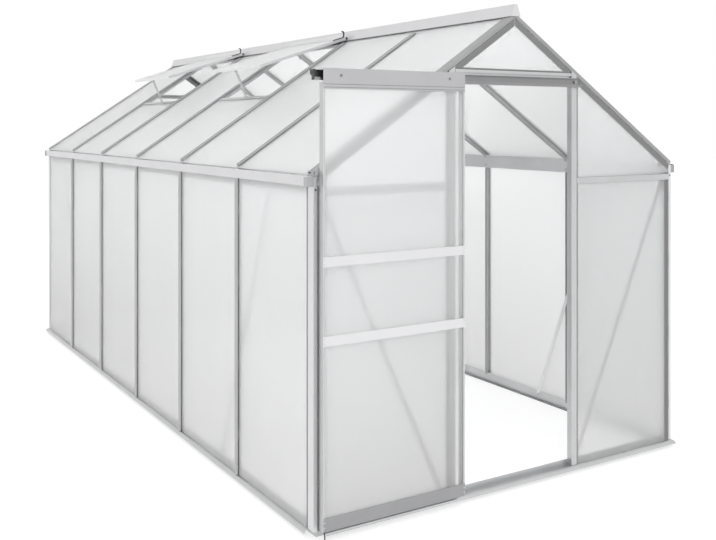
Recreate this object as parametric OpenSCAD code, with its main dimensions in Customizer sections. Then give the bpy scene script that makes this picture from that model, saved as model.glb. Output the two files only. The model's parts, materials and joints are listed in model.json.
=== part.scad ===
// Walk-in garden greenhouse of thin aluminium extrusions and twin-wall sheets.
// It has a sliding door in the front gable and two propped vents in the left roof slope.
// Axes: +X to the right, +Y from the door gable to the back gable, +Z up, in millimetres.
// Origin: on the ground, under the middle of the outer box.
// A wall's sheet plane is the plane that its sheets rest on from outside.

/* [House] */
// Width between the sheet planes of the two side walls
house_w = 1880; // [1860:10:1960]
// Number of bays along each side wall
side_bays = 6; // [5:1:8]
// Length of one side bay, from bar to bar
bay_l = 633; // [610:1:660]
// Height of the gutters' undersides above the ground
eave_h = 1257; // [1230:1:1290]
// Rise of the roof's sheet plane above the gutter's underside, at the wall
rafter_rise = 42.6; // [40:0.1:45]
// Slope of the roof in degrees
roof_pitch = 33.4; // [32:0.1:35]

/* [Extrusions and sheets] */
// Thickness of the extrusions' walls
wall_t = 1.6; // [1.4:0.1:1.8]
// Width of the cap that stands out between two sheets
cap_w = 12; // [10:1:14]
// Height of the cap above the sheet plane
cap_h = 8; // [7:0.5:9]
// Half the width of the flange that the sheets rest on
seat_w = 14; // [12:1:16]
// Depth of the bolt channel behind the sheet plane
channel_d = 18; // [16:1:20]
// Width of the bolt channel
channel_w = 14; // [13:1:16]
// Width of the slot that the bolts slide in
slot_w = 6.5; // [6:0.5:7]
// Width of the corner angles' faces on the side walls and the roof
corner_face = 41; // [38:1:44]
// Width of the corner angles' lips on the gables
corner_lip = 16; // [14:1:20]
// Width of the eave rails' faces on the gables
rail_face = 26; // [20:1:30]
// Thickness of the sheets
sheet_t = 4; // [3.5:0.1:4.5]

/* [Sills and gutters] */
// Height of the sills' inner webs
sill_h = 50; // [46:1:56]
// Height of the sills' shelves, where bars and sheets stand
shelf_h = 30; // [28:1:34]
// Reach of the sills' drip lips beyond the sheet plane
lip_reach = 20; // [16:1:24]
// Drop of the lips' edges below the shelves
lip_drop = 18; // [14:1:22]
// Width of the sills' feet on the ground
foot_w = 20; // [15:1:30]
// Reach of the gutters beyond the sheet plane
gutter_reach = 28; // [24:1:30]
// Height of the gutters' outer walls
gutter_wall_h = 37; // [34:1:40]

/* [Door] */
// Width of the door
door_w = 634; // [630:1:640]
// Height of the door's lower edge above the ground
door_bottom = 40; // [38:1:44]
// Height of the door's upper edge above the ground
door_top = 1676; // [1676:1:1680]
// Distance from the gable's sheet plane to the door's front
door_front = 45; // [44:1:48]
// Depth of the door's stiles
stile_d = 28; // [26:1:30]
// Height of the door's header plate
header_h = 74; // [70:1:78]
// Height of the door's kick plate
kick_h = 48; // [44:1:54]
// Height of each rail across the door
rail_h = 36; // [32:1:40]
// Heights of the two rails' middles above the ground
rail_levels = [710, 990]; // each from 300 to 1300, with 60 or more between them
// How far the door moves from open to closed
door_travel = 610; // [606:1:612]

/* [Roof vents] */
// Bays that have a vent, counted from the door gable
vent_bays = [3, 5]; // two different bays, from 1 to side_bays
// Length of a vent down the slope
vent_l = 535; // [525:1:540]
// Angle that a vent is propped open from the roof
vent_open = 15.6; // [10:0.1:18]
// Depth of a vent's frame
vent_d = 15; // [13:1:16]

/* [Hidden] */
house_l = side_bays * bay_l;
half_w = house_w / 2;
y_shift = -(house_l + lip_reach - door_front) / 2;
sheet_gap = 1.5;

// Roof lines, seen along the ridge. The apex is rounded down to a hundredth, so that what is set
// out from it lies just under the slopes and never presses into the sheets.
roof_z0 = eave_h + rafter_rise;
apex_z = floor(100 * (roof_z0 + half_w * tan(roof_pitch))) / 100;
function roof_line(x, depth) = apex_z - abs(x) * tan(roof_pitch) - depth / cos(roof_pitch);
function roof_half_x(z, depth) = (apex_z - depth / cos(roof_pitch) - z) / tan(roof_pitch);
function slope_at(x) = (half_w - abs(x)) / cos(roof_pitch);

// Corner angles, seen along them: the face ends at face_end and its sheets' seat at face_seat.
// The lip ends at post_lip or rafter_lip, and its sheets' seat is lip_seat_w wide.
face_end = corner_face - sheet_t;
face_seat = face_end + seat_w - wall_t;
post_lip = corner_lip - sheet_t;
rafter_lip = corner_lip - cap_h;
lip_seat_w = 27;
post_seat = post_lip + lip_seat_w;
rafter_seat = rafter_lip + lip_seat_w;

// Ridge beam
ridge_top_w = 12;
ridge_rise = 46;
ridge_skirt_x = 24;
ridge_skirt_z = -4;
ridge_web_t = 2 * wall_t;
ridge_web_drop = 30;
ridge_wing_x = 34;
ridge_overhang = 10;
function skirt_x(z) =
    ridge_skirt_x - (z - ridge_skirt_z) * (ridge_skirt_x - ridge_top_w / 2) / (ridge_rise - ridge_skirt_z);

// Gable bars
eave_rail_z = 1237;
apex_rail_z = 1686;
post_in = 312;
post_w = 30;
post_out = post_in + post_w;
back_stud_x = 330;

// Door track
track_z = 1633;
track_h = 37;
track_lip_h = 10;
track_lip_t = 2 * wall_t;
track_lip_in = 3;
track_reach = 36;
track_left = -955;
track_right = 345;
end_cap_t = 6;
track_pad_x = -415;
track_pad = 14;

// Door frame
door_x = -post_in - 5 - door_travel;
lip_w = 8;
stile_lip_y = -door_front + wall_t;
door_sheet_y = stile_lip_y + wall_t;
groove_y = door_sheet_y + sheet_t;
plate_back = groove_y - stile_lip_y + wall_t;
stile_clear = 6;
groove_d = 14;

// Rollers
roller_inset = 74;
roller_y = track_lip_in + track_lip_t / 2 - track_reach;
roller_r = 9.5;
roller_groove_r = 6.7;
roller_w = 9;
roller_play = 0.3;
roller_z = track_z + track_lip_h + roller_groove_r + roller_play;
groove_half = track_lip_t / 2 + 0.5;
axle_r = 3;

// Braces
brace_w = 20;
brace_t = 2;
brace_plane = channel_d + wall_t;
gusset_t = wall_t;

// Ends of the gutters, and the front left corner that the sills' lips leave free
gutter_end_t = 2;
gutter_end_l = 23;
gutter_end_h = 35;
free_corner = 35;

// Vents
vent_hinge = [-18, apex_z + 17];
vent_gap = 4;
vent_start = 11;
vent_flange = 20;
hinge_inset = 8;
vent_sill_slope = 573;
vent_sill_w = 22;
stay_w = 14;
stay_t = 3;
stay_lug = 20;

metal = [0.80, 0.81, 0.82];
milky = [0.92, 0.94, 0.95, 0.6];
dark = [0.12, 0.12, 0.13];
grey = [0.55, 0.56, 0.57];

// ---------- Helpers ----------

function mirrored(half) = concat(half, [for (i = [len(half) - 1 : -1 : 0]) [-half[i].x, half[i].y]]);
function arc(centre, radius, from, to, steps) =
    [for (i = [0 : steps]) let (a = from + (to - from) * i / steps) centre + radius * [cos(a), sin(a)]];

// Places the whole house so that the origin is under the middle of its box
module placed() {
    translate([0, y_shift, 0]) children();
}

module both_sides() {
    children();
    mirror([1, 0, 0]) children();
}

// Turns what is drawn for the left of the house into its right
module to_right() {
    mirror([1, 0, 0]) children();
}

// Turns what is drawn at the front gable into the back gable
module to_back() {
    translate([0, house_l, 0]) mirror([0, 1, 0]) children();
}

// Left roof slope: local X runs up the slope, Y along the house and Z outward.
// Local X is 0 in the side wall's sheet plane.
module on_left_slope() {
    translate([-half_w, 0, roof_z0]) rotate([0, -roof_pitch, 0]) children();
}

// Everything above a line that lies the given depth under the roof's sheet planes
module above_roof(depth) {
    big = half_w + 100;
    translate([0, 100, 0]) rotate([90, 0, 0]) linear_extrude(200) polygon([
        [-big, roof_line(big, depth)],
        [0, roof_line(0, depth)],
        [big, roof_line(big, depth)],
        [big, apex_z + 300],
        [-big, apex_z + 300]]);
}

// Cuts a gable bar's front to the gable rafters' lips, and the rest of it to their seats
module under_gable_rafters() {
    difference() {
        children();
        above_roof(rafter_lip + 0.5);
        translate([0, 100, 0]) above_roof(rafter_seat);
    }
}

// ---------- Profiles ----------

// Glazing bar: cap, sheet seats and bolt channel. X is across the bar and Y is outward.
module bar_profile(cap) {
    half_channel = channel_w / 2;
    polygon(mirrored([
        [cap / 2, cap_h],
        [cap / 2, cap_h - wall_t],
        [wall_t / 2, cap_h - wall_t],
        [wall_t / 2, 0],
        [seat_w, 0],
        [seat_w, -wall_t],
        [half_channel, -wall_t],
        [half_channel, -channel_d],
        [slot_w / 2, -channel_d],
        [slot_w / 2, -channel_d + wall_t],
        [half_channel - wall_t, -channel_d + wall_t],
        [half_channel - wall_t, -wall_t]]));
}

// Corner angle: a face along the house, a lip on the gable, and a seat flange behind each sheet.
// X is 0 in the face's sheet plane, which the face stands proud of, and runs inward.
// Y is 0 in the gable's sheet plane and runs along the house.
module corner_profile(proud, lip) {
    polygon([
        [-proud, -sheet_t],
        [lip, -sheet_t],
        [lip, 0],
        [lip + lip_seat_w, 0],
        [lip + lip_seat_w, wall_t],
        [lip - wall_t, wall_t],
        [lip - wall_t, wall_t - sheet_t],
        [wall_t - proud, wall_t - sheet_t],
        [wall_t - proud, face_end - wall_t],
        [wall_t, face_end - wall_t],
        [wall_t, face_seat],
        [0, face_seat],
        [0, face_end],
        [-proud, face_end]]);
}

// Door post: a channel that closes the jamb, with a sheet seat on the outer side only.
// X runs outward from the doorway's edge and Y is outward from the gable.
module door_post_profile() {
    polygon([
        [0, cap_h],
        [post_w, cap_h],
        [post_w, 0],
        [post_w + seat_w - wall_t, 0],
        [post_w + seat_w - wall_t, -wall_t],
        [post_w - wall_t, -wall_t],
        [post_w - wall_t, cap_h - wall_t],
        [wall_t, cap_h - wall_t],
        [wall_t, wall_t - channel_d],
        [channel_w, wall_t - channel_d],
        [channel_w, -channel_d],
        [0, -channel_d]]);
}

// Sill: web, shelf, rounded drip lip and foot. X is outward and Y is up.
module sill_profile() {
    lip_centre = [lip_reach - lip_drop, shelf_h - lip_drop];
    polygon(concat(
        [[-channel_d, sill_h], [-channel_d, shelf_h]],
        arc(lip_centre, lip_drop, 90, 0, 6),
        arc(lip_centre, lip_drop - wall_t, 0, 90, 6),
        [[-channel_d, shelf_h - wall_t],
        [-channel_d, 0],
        [-channel_d - wall_t - foot_w, 0],
        [-channel_d - wall_t - foot_w, wall_t],
        [-channel_d - wall_t, wall_t],
        [-channel_d - wall_t, sill_h]]));
}

// Gutter: trough, inner web and the sloped seat that carries the rafters.
// X is outward from the wall's sheet plane and Y is height above the ground.
module gutter_profile() {
    web_out = -channel_d;
    web_in = -channel_d - wall_t;
    web_drop = 29;
    seat_in = -34;
    seat_out = -6;
    seat_t = wall_t / cos(roof_pitch);
    rolled = 4;
    top = eave_h + gutter_wall_h;
    function seat_z(x) = roof_line(half_w + x, channel_d);
    polygon([
        [gutter_reach, eave_h],
        [gutter_reach, top],
        [gutter_reach - rolled, top],
        [gutter_reach - rolled, top - wall_t],
        [gutter_reach - wall_t, top - wall_t],
        [gutter_reach - wall_t, eave_h + wall_t],
        [web_out, eave_h + wall_t],
        [web_out, seat_z(web_out) - seat_t],
        [seat_out, seat_z(seat_out) - seat_t],
        [seat_out, seat_z(seat_out)],
        [seat_in, seat_z(seat_in)],
        [seat_in, seat_z(seat_in) - seat_t],
        [web_in, seat_z(web_in) - seat_t],
        [web_in, eave_h - web_drop],
        [web_out, eave_h - web_drop],
        [web_out, eave_h]]);
}

// Ridge beam: capping with sloped skirts, web, and a wing under each slope's sheets.
// X is across the house and Y is height above the roof's apex.
module ridge_profile() {
    skirt_t = wall_t * 1.1;
    web = ridge_web_t / 2;
    slope = tan(roof_pitch);
    wing_drop = wall_t / cos(roof_pitch);
    polygon(mirrored([
        [ridge_top_w / 2, ridge_rise],
        [ridge_skirt_x, ridge_skirt_z],
        [ridge_skirt_x - skirt_t, ridge_skirt_z],
        [ridge_top_w / 2 - wall_t / 2, ridge_rise - wall_t],
        [web, ridge_rise - wall_t],
        [web, -web * slope],
        [ridge_wing_x, -ridge_wing_x * slope],
        [ridge_wing_x, -ridge_wing_x * slope - wing_drop],
        [web, -web * slope - wing_drop],
        [web, -ridge_web_drop]]));
}

// ---------- Sills ----------

// A length of sill for the left wall, drawn from Y = 0 to Y = length, mitred at its ends
module sill(length) {
    past = 60;
    intersection() {
        translate([0, -past, 0]) rotate([90, 0, 180]) linear_extrude(length + 2 * past) sill_profile();
        translate([0, 0, -1]) linear_extrude(sill_h + 2) polygon([
            [past, past],
            [-past, -past],
            [-past, length + past],
            [past, length - past]]);
    }
}

// The lips' part of the front left corner, which the open door stands over
module free_lip_corner() {
    past = lip_reach + 1;
    translate([-half_w, 0, -1]) linear_extrude(shelf_h + 2) polygon([
        [-past, -past],
        [free_corner, -past],
        [free_corner, -sheet_t],
        [-sheet_t, -sheet_t],
        [-sheet_t, free_corner],
        [-past, free_corner]]);
}

module left_sill() {
    color(metal) placed() difference() {
        translate([-half_w, 0, 0]) sill(house_l);
        free_lip_corner();
    }
}

module right_sill() {
    color(metal) placed() to_right() translate([-half_w, 0, 0]) sill(house_l);
}

module front_sill() {
    color(metal) placed() difference() {
        translate([half_w, 0, 0]) rotate([0, 0, 90]) sill(house_w);
        free_lip_corner();
    }
}

module back_sill() {
    color(metal) placed() to_back() translate([half_w, 0, 0]) rotate([0, 0, 90]) sill(house_w);
}

// ---------- Posts, studs and braces ----------

// The post ends under the gutter, but its lip runs on up to the gable rafter's lip
module corner_post() {
    translate([-half_w, 0, shelf_h]) linear_extrude(eave_h - shelf_h) corner_profile(sheet_t, post_lip);
    difference() {
        translate([-half_w, 0, eave_h - 10]) linear_extrude(80) intersection() {
            corner_profile(sheet_t, post_lip);
            translate([-sheet_t, -sheet_t]) square([corner_lip, sheet_t]);
        }
        above_roof(rafter_lip);
    }
}

module front_left_corner_post() {
    color(metal) placed() corner_post();
}

module front_right_corner_post() {
    color(metal) placed() to_right() corner_post();
}

module back_left_corner_post() {
    color(metal) placed() to_back() corner_post();
}

module back_right_corner_post() {
    color(metal) placed() to_back() to_right() corner_post();
}

module side_studs() {
    for (k = [1 : side_bays - 1])
        translate([-half_w, k * bay_l, shelf_h])
            rotate([0, 0, 90]) linear_extrude(eave_h - shelf_h) bar_profile(cap_w);
}

module left_wall_studs() {
    color(metal) placed() side_studs();
}

module right_wall_studs() {
    color(metal) placed() to_right() side_studs();
}

module front_door_posts() {
    color(metal) placed() both_sides() under_gable_rafters()
        translate([-post_in, 0, shelf_h]) rotate([0, 0, 180])
            linear_extrude(apex_z - shelf_h) door_post_profile();
}

module back_gable_studs() {
    color(metal) placed() to_back() both_sides() under_gable_rafters()
        translate([-back_stud_x, 0, shelf_h]) rotate([0, 0, 180])
            linear_extrude(apex_z - shelf_h) bar_profile(cap_w);
}

// Flat bar with cut corners between two points of the XY plane
module flat_bar(from, to, width, corner) {
    along = to - from;
    reach = norm(along) / 2 + width / 2;
    half = width / 2;
    translate((from + to) / 2) rotate(atan2(along.y, along.x)) polygon([
        [-reach, corner - half],
        [corner - reach, -half],
        [reach - corner, -half],
        [reach, corner - half],
        [reach, half - corner],
        [reach - corner, half],
        [corner - reach, half],
        [-reach, half - corner]]);
}

// A brace of the left wall's front end, against the insides of the sill and the gutter
module side_brace() {
    translate([-half_w + brace_plane, 0, 0]) rotate([90, 0, 90]) linear_extrude(brace_t)
        flat_bar([838, 28], [368, eave_h - 16], brace_w, 5);
}

module side_wall_braces() {
    color(metal) placed() both_sides() {
        side_brace();
        to_back() side_brace();
    }
}

// A brace of the front gable's left bay, from the corner down to the door post's foot
module gable_brace() {
    translate([0, brace_plane + brace_t, 0]) rotate([90, 0, 0]) linear_extrude(brace_t)
        flat_bar([-352, 30], [-900, 1205], brace_w, 5);
}

// Plate behind the eave rail that the brace's upper end and the gable rafter are bolted to
module corner_gusset() {
    web = half_w - brace_plane - 0.5;
    edge = half_w - 60;
    under_seat = 24;
    translate([0, brace_plane, 0]) rotate([90, 0, 0]) linear_extrude(gusset_t) polygon([
        [-web, eave_rail_z - 57],
        [12 - web, eave_rail_z - 59],
        [-edge - 4, eave_rail_z - 14],
        [-edge, eave_rail_z + 14],
        [-edge, roof_line(edge, under_seat)],
        [-web, roof_line(web, under_seat)]]);
}

module gable_braces() {
    color(metal) placed() both_sides() {
        gable_brace();
        corner_gusset();
        to_back() {
            gable_brace();
            corner_gusset();
        }
    }
}

// ---------- Gutters, ridge and rafters ----------

module gutter() {
    translate([-half_w, wall_t, 0]) rotate([90, 0, 180])
        linear_extrude(house_l - 2 * wall_t) gutter_profile();
}

module left_gutter() {
    color(metal) placed() gutter();
}

module right_gutter() {
    color(metal) placed() to_right() gutter();
}

// Plastic end of a gutter: a box that is open on top, inside and behind
module gutter_end() {
    box = [gutter_reach + gutter_end_t - sheet_t - 0.6, gutter_end_l, gutter_end_h];
    plate_t = gutter_end_t + 1;
    translate([-half_w - gutter_reach - gutter_end_t, wall_t - plate_t, eave_h - gutter_end_t])
        difference() {
            cube(box);
            translate([gutter_end_t, plate_t, gutter_end_t]) cube(box);
        }
}

module gutter_ends() {
    color(grey) placed() both_sides() {
        gutter_end();
        to_back() gutter_end();
    }
}

// Outline of the plates that close the ridge beam's ends, above the roof's apex
module ridge_end_plate() {
    polygon(mirrored([[ridge_top_w / 2, ridge_rise], [ridge_skirt_x, ridge_skirt_z]]));
}

// What the ridge beam leaves out over each gable, so that the gable rafters can meet under it
module ridge_end_cut() {
    side = ridge_wing_x + 1;
    bottom = -ridge_web_drop - 1;
    polygon([
        [-side, bottom],
        [side, bottom],
        [side, ridge_skirt_z],
        [side / 2, ridge_skirt_z],
        [side / 2, 0],
        [-side / 2, 0],
        [-side / 2, ridge_skirt_z],
        [-side, ridge_skirt_z]]);
}

module ridge_beam() {
    length = house_l + 2 * ridge_overhang;
    gable_clear = face_seat + 1;
    color(metal) placed() {
        difference() {
            translate([0, length - ridge_overhang, apex_z]) rotate([90, 0, 0])
                linear_extrude(length) ridge_profile();
            for (y = [gable_clear, house_l + ridge_overhang + 1])
                translate([0, y, apex_z]) rotate([90, 0, 0])
                    linear_extrude(gable_clear + ridge_overhang + 1) ridge_end_cut();
        }
        for (y = [wall_t - ridge_overhang, house_l + ridge_overhang])
            translate([0, y, apex_z]) rotate([90, 0, 0]) linear_extrude(wall_t) ridge_end_plate();
    }
}

// Rafters of the left slope, notched to slide under the ridge beam's wing
module rafters() {
    full = slope_at(ridge_wing_x) - wall_t * tan(roof_pitch) - 0.5;
    under_wing = slope_at(14);
    on_left_slope() for (k = [1 : side_bays - 1])
        translate([0, k * bay_l, 0]) difference() {
            rotate([90, 0, 90]) linear_extrude(under_wing) bar_profile(cap_w);
            translate([full, -seat_w - 1, -wall_t]) cube([under_wing, 2 * seat_w + 2, cap_h + 2 * wall_t]);
        }
}

module left_rafters() {
    color(metal) placed() rafters();
}

module right_rafters() {
    color(metal) placed() to_right() rafters();
}

module gable_rafter() {
    difference() {
        on_left_slope() rotate([0, 90, 0]) linear_extrude(slope_at(0) + 60)
            corner_profile(cap_h, rafter_lip);
        translate([-ridge_web_t / 2, -50, apex_z - 200]) cube([200, 200, 400]);
    }
}

module front_gable_rafters() {
    color(metal) placed() both_sides() gable_rafter();
}

module back_gable_rafters() {
    color(metal) placed() to_back() both_sides() gable_rafter();
}

// A glazing bar that runs across a gable from x0 to x1 at height z, with a face of the given width
module gable_rail(x0, x1, z, face) {
    translate([x0, 0, z]) rotate([90, 0, 0]) rotate([90, 0, 90]) linear_extrude(x1 - x0) bar_profile(face);
}

// The rail under the apex, between bars or posts whose inner edges are at x = -side and x = side
module apex_rail(side) {
    half = side - sheet_gap;
    under_gable_rafters() gable_rail(-half, half, apex_rail_z, cap_w);
}

// Eave rail whose face stops short of the bars beside it, and whose back stops short of their seats
module eave_rail(face_from, face_to, back_from, back_to) {
    tall = 2 * rail_face;
    difference() {
        gable_rail(face_from, face_to, eave_rail_z, rail_face);
        for (cut = [[face_from - 1, back_from], [back_to, face_to + 1]])
            translate([cut[0], 0, eave_rail_z - tall / 2]) cube([cut[1] - cut[0], channel_d + 1, tall]);
    }
}

// The eave rail between a corner and a bar, whose face and seat end at the given distances
module outer_eave_rail(bar_face, bar_seat) {
    eave_rail(post_lip + sheet_gap - half_w, -bar_face - sheet_gap, post_seat - half_w, -bar_seat);
}

module front_gable_rails() {
    color(metal) placed() {
        both_sides() outer_eave_rail(post_out, post_out + seat_w - wall_t);
        apex_rail(post_in);
    }
}

module back_gable_rails() {
    face_half = back_stud_x - cap_w / 2 - sheet_gap;
    back_half = back_stud_x - seat_w;
    color(metal) placed() to_back() {
        both_sides() outer_eave_rail(back_stud_x + cap_w / 2, back_stud_x + seat_w);
        eave_rail(-face_half, face_half, -back_half, back_half);
        apex_rail(back_stud_x - cap_w / 2);
    }
}

// ---------- Sheets ----------

// A flat sheet of the left wall or slope: X across, Y along, lying outside the sheet plane
module side_wall_sheets() {
    for (k = [0 : side_bays - 1]) {
        edge = wall_t / 2 + sheet_gap;
        y0 = k == 0 ? face_end + sheet_gap : k * bay_l + edge;
        y1 = k == side_bays - 1 ? house_l - face_end - sheet_gap : (k + 1) * bay_l - edge;
        translate([-half_w - sheet_t, y0, shelf_h]) cube([sheet_t, y1 - y0, eave_h - shelf_h]);
    }
}

module left_wall_sheets() {
    color(milky) placed() side_wall_sheets();
}

module right_wall_sheets() {
    color(milky) placed() to_right() side_wall_sheets();
}

// Roof sheets of one slope; the listed bays stop at the vents' sills
module roof_sheets(short_bays) {
    on_left_slope() for (k = [0 : side_bays - 1]) {
        edge = wall_t / 2 + sheet_gap;
        is_short = len(search(k + 1, short_bays)) > 0;
        y0 = k == 0 ? face_end + sheet_gap : k * bay_l + edge;
        y1 = k == side_bays - 1 ? house_l - face_end - sheet_gap : (k + 1) * bay_l - edge;
        s1 = is_short ? vent_sill_slope : slope_at(8);
        translate([-8, y0, 0]) cube([s1 + 8, y1 - y0, sheet_t]);
    }
}

module left_roof_sheets() {
    color(milky) placed() roof_sheets(vent_bays);
}

module right_roof_sheets() {
    color(milky) placed() to_right() roof_sheets([]);
}

// A sheet of the front gable, from an outline in X and Z
module gable_sheet(outline) {
    rotate([90, 0, 0]) linear_extrude(sheet_t) polygon(outline);
}

// Sheets beside the middle bay, whose bar or post has its outer edge at x = side
module outer_gable_sheets(side) {
    edge = half_w - post_lip - sheet_gap;
    inner = side + sheet_gap;
    gap = wall_t / 2 + sheet_gap;
    depth = rafter_lip + sheet_gap;
    gable_sheet([
        [-edge, shelf_h],
        [-inner, shelf_h],
        [-inner, eave_rail_z - gap],
        [-edge, eave_rail_z - gap]]);
    gable_sheet([
        [-edge, eave_rail_z + gap],
        [-inner, eave_rail_z + gap],
        [-inner, roof_line(inner, depth)],
        [-edge, roof_line(edge, depth)]]);
}

// The sheet under the apex, between bars or posts whose inner edges are at x = -side and x = side
module apex_sheet(side) {
    depth = rafter_lip + sheet_gap;
    bottom = apex_rail_z + wall_t / 2 + sheet_gap;
    half = side - sheet_gap;
    gable_sheet([
        [-half, bottom],
        [half, bottom],
        [half, roof_line(half, depth)],
        [0, roof_line(0, depth)],
        [-half, roof_line(half, depth)]]);
}

module front_gable_sheets() {
    color(milky) placed() {
        both_sides() outer_gable_sheets(post_out);
        apex_sheet(post_in);
    }
}

module back_gable_sheets() {
    side = back_stud_x - wall_t / 2;
    half = side - sheet_gap;
    gap = wall_t / 2 + sheet_gap;
    color(milky) placed() to_back() {
        both_sides() outer_gable_sheets(back_stud_x + wall_t / 2);
        for (span = [[shelf_h, eave_rail_z - gap], [eave_rail_z + gap, apex_rail_z - gap]])
            gable_sheet([[-half, span[0]], [half, span[0]], [half, span[1]], [-half, span[1]]]);
        apex_sheet(side);
    }
}

// ---------- Roof vents ----------

// Bars across the slope that close the openings at the vents' lower edges
module roof_vent_sills() {
    color(metal) placed() on_left_slope() for (bay = vent_bays) {
        translate([vent_sill_slope, bay * bay_l - seat_w, 0]) rotate([90, 0, 0])
            linear_extrude(bay_l - 2 * seat_w) polygon([
                [-vent_sill_w, cap_h],
                [wall_t, cap_h],
                [wall_t, -channel_d],
                [0, -channel_d],
                [0, -wall_t],
                [-seat_w, -wall_t],
                [-seat_w, 0],
                [0, 0],
                [0, cap_h - wall_t],
                [-vent_sill_w, cap_h - wall_t]]);
        translate([vent_sill_slope + wall_t, (bay - 0.5) * bay_l + stay_t / 2, -channel_d])
            cube([stay_lug, stay_t, channel_d + cap_h]);
    }
}

// A vent in its propped place: local X is 0 at the hinge and runs down to -vent_l,
// and local Z is 0 at the vent's upper face
module at_vent(bay) {
    translate([vent_hinge.x, (bay - 1) * bay_l, vent_hinge.y])
        rotate([0, vent_open - roof_pitch, 0]) children();
}

// Leaf that hooks a vent onto the ridge beam's skirt, seen along the ridge
module hinge_leaf(bay) {
    bottom = 12;
    top = 32;
    leaf = wall_t * 1.1;
    translate([0, bay * bay_l - vent_gap - hinge_inset, apex_z]) rotate([90, 0, 0])
        linear_extrude(bay_l - 2 * (vent_gap + hinge_inset)) polygon([
            [-skirt_x(bottom), bottom],
            [-skirt_x(bottom) - leaf, bottom],
            [-skirt_x(top) - leaf, top],
            [-skirt_x(top), top]]);
}

module vent_frame(bay) {
    width = bay_l - 2 * vent_gap;
    length = vent_l - vent_start;
    placed() {
        hinge_leaf(bay);
        at_vent(bay) {
            translate([-vent_l, vent_gap, -vent_d]) difference() {
                cube([length, width, vent_d]);
                translate([wall_t, wall_t, -1])
                    cube([length - 2 * wall_t, width - 2 * wall_t, vent_d - wall_t + 1]);
                translate([vent_flange, vent_flange, 0])
                    cube([length - 2 * vent_flange, width - 2 * vent_flange, vent_d + 1]);
            }
            translate([-vent_start - 1, vent_gap, -wall_t]) cube([vent_start + 1.5, width, wall_t]);
            translate([wall_t / 2 - vent_l, bay_l / 2 + stay_t / 2, -vent_d - stay_lug / 2])
                cube([stay_lug, stay_t, vent_d + stay_lug / 2 - 2 * wall_t - sheet_t]);
        }
    }
}

module vent_sheet(bay) {
    inset = wall_t + 1;
    placed() at_vent(bay) translate([inset - vent_l, vent_gap + inset, -wall_t - sheet_t])
        cube([vent_l - vent_start - 2 * inset, bay_l - 2 * vent_gap - 2 * inset, sheet_t]);
}

module front_vent_frame() {
    color(metal) vent_frame(vent_bays[0]);
}

module front_vent_sheet() {
    color(milky) vent_sheet(vent_bays[0]);
}

module rear_vent_frame() {
    color(metal) vent_frame(vent_bays[1]);
}

module rear_vent_sheet() {
    color(milky) vent_sheet(vent_bays[1]);
}

// Stays that prop the vents on their sills, each beside a lug at either end
module vent_stays() {
    tilt = roof_pitch - vent_open;
    foot_s = vent_sill_slope + wall_t + stay_lug / 2;
    foot = [foot_s * cos(roof_pitch) - half_w, roof_z0 + foot_s * sin(roof_pitch)];
    head = vent_hinge - (vent_l - stay_lug / 2) * [cos(tilt), sin(tilt)] + vent_d * [sin(tilt), -cos(tilt)];
    color(metal) placed() for (bay = vent_bays)
        translate([0, (bay - 0.5) * bay_l + stay_t / 2, 0]) rotate([90, 0, 0])
            linear_extrude(stay_t) flat_bar(foot, head, stay_w, 3);
}

// ---------- Door track ----------

// Channel that is open in front, with an upright lip that the rollers ride on.
// A pad packs it out from the gable rafter.
module door_track() {
    reach = track_reach - cap_h;
    lip = reach - track_lip_in;
    color(metal) placed() {
        translate([track_right, -cap_h, track_z]) rotate([90, 0, -90])
            linear_extrude(track_right - track_left) polygon([
                [0, 0],
                [lip, 0],
                [lip, track_lip_h],
                [lip - track_lip_t, track_lip_h],
                [lip - track_lip_t, wall_t],
                [wall_t, wall_t],
                [wall_t, track_h - wall_t],
                [reach, track_h - wall_t],
                [reach, track_h],
                [0, track_h]]);
        translate([track_pad_x, -cap_h, track_z + 10]) cube([track_pad, cap_h - sheet_t, track_pad]);
    }
}

// Cap on the track's left end, and a stop inside its right end
module track_end_caps() {
    stop_front = track_reach - track_lip_in - track_lip_t - 2;
    color(dark) placed() {
        translate([track_left - end_cap_t, -track_reach - 1, track_z - 1])
            cube([end_cap_t, track_reach - cap_h + 1, track_h + 2]);
        translate([track_right - end_cap_t, -stop_front, track_z + wall_t])
            cube([end_cap_t, stop_front - cap_h - wall_t, 20]);
    }
}

// ---------- Door ----------

// The door's own space: X from its left edge, Y and Z as in the house, at rest in the open place
module at_door() {
    placed() translate([door_x, 0, 0]) children();
}

// Left stile: side web with front lip, sheet groove and back lip
module stile() {
    back = -door_front + stile_d;
    top = track_z - stile_clear;
    translate([0, 0, door_bottom]) linear_extrude(top - door_bottom) polygon([
        [0, stile_lip_y],
        [lip_w, stile_lip_y],
        [lip_w, door_sheet_y],
        [wall_t, door_sheet_y],
        [wall_t, groove_y],
        [lip_w, groove_y],
        [lip_w, groove_y + wall_t],
        [wall_t, groove_y + wall_t],
        [wall_t, back - wall_t],
        [lip_w + 4, back - wall_t],
        [lip_w + 4, back],
        [0, back]]);
}

module door_stiles() {
    color(metal) at_door() {
        stile();
        translate([door_w, 0, 0]) mirror([1, 0, 0]) stile();
    }
}

// Plate across the door's front, over the lips of both stiles
module front_plate(bottom, height) {
    translate([0, -door_front, bottom]) cube([door_w, wall_t, height]);
}

// Part of a rail between the stiles; the outline's X is forward from the groove's back
module behind_plate(bottom, outline) {
    translate([door_w - lip_w, groove_y + wall_t, bottom]) rotate([90, 0, -90])
        linear_extrude(door_w - 2 * lip_w) polygon(outline);
}

module door_rail(level) {
    front_plate(level - rail_h / 2, rail_h);
    behind_plate(level, [
        [0, -groove_d],
        [wall_t, -groove_d],
        [wall_t, -wall_t / 2],
        [plate_back, -wall_t / 2],
        [plate_back, wall_t / 2],
        [wall_t, wall_t / 2],
        [wall_t, groove_d],
        [0, groove_d]]);
}

module door_upper_rail() {
    color(metal) at_door() door_rail(rail_levels[1]);
}

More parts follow.
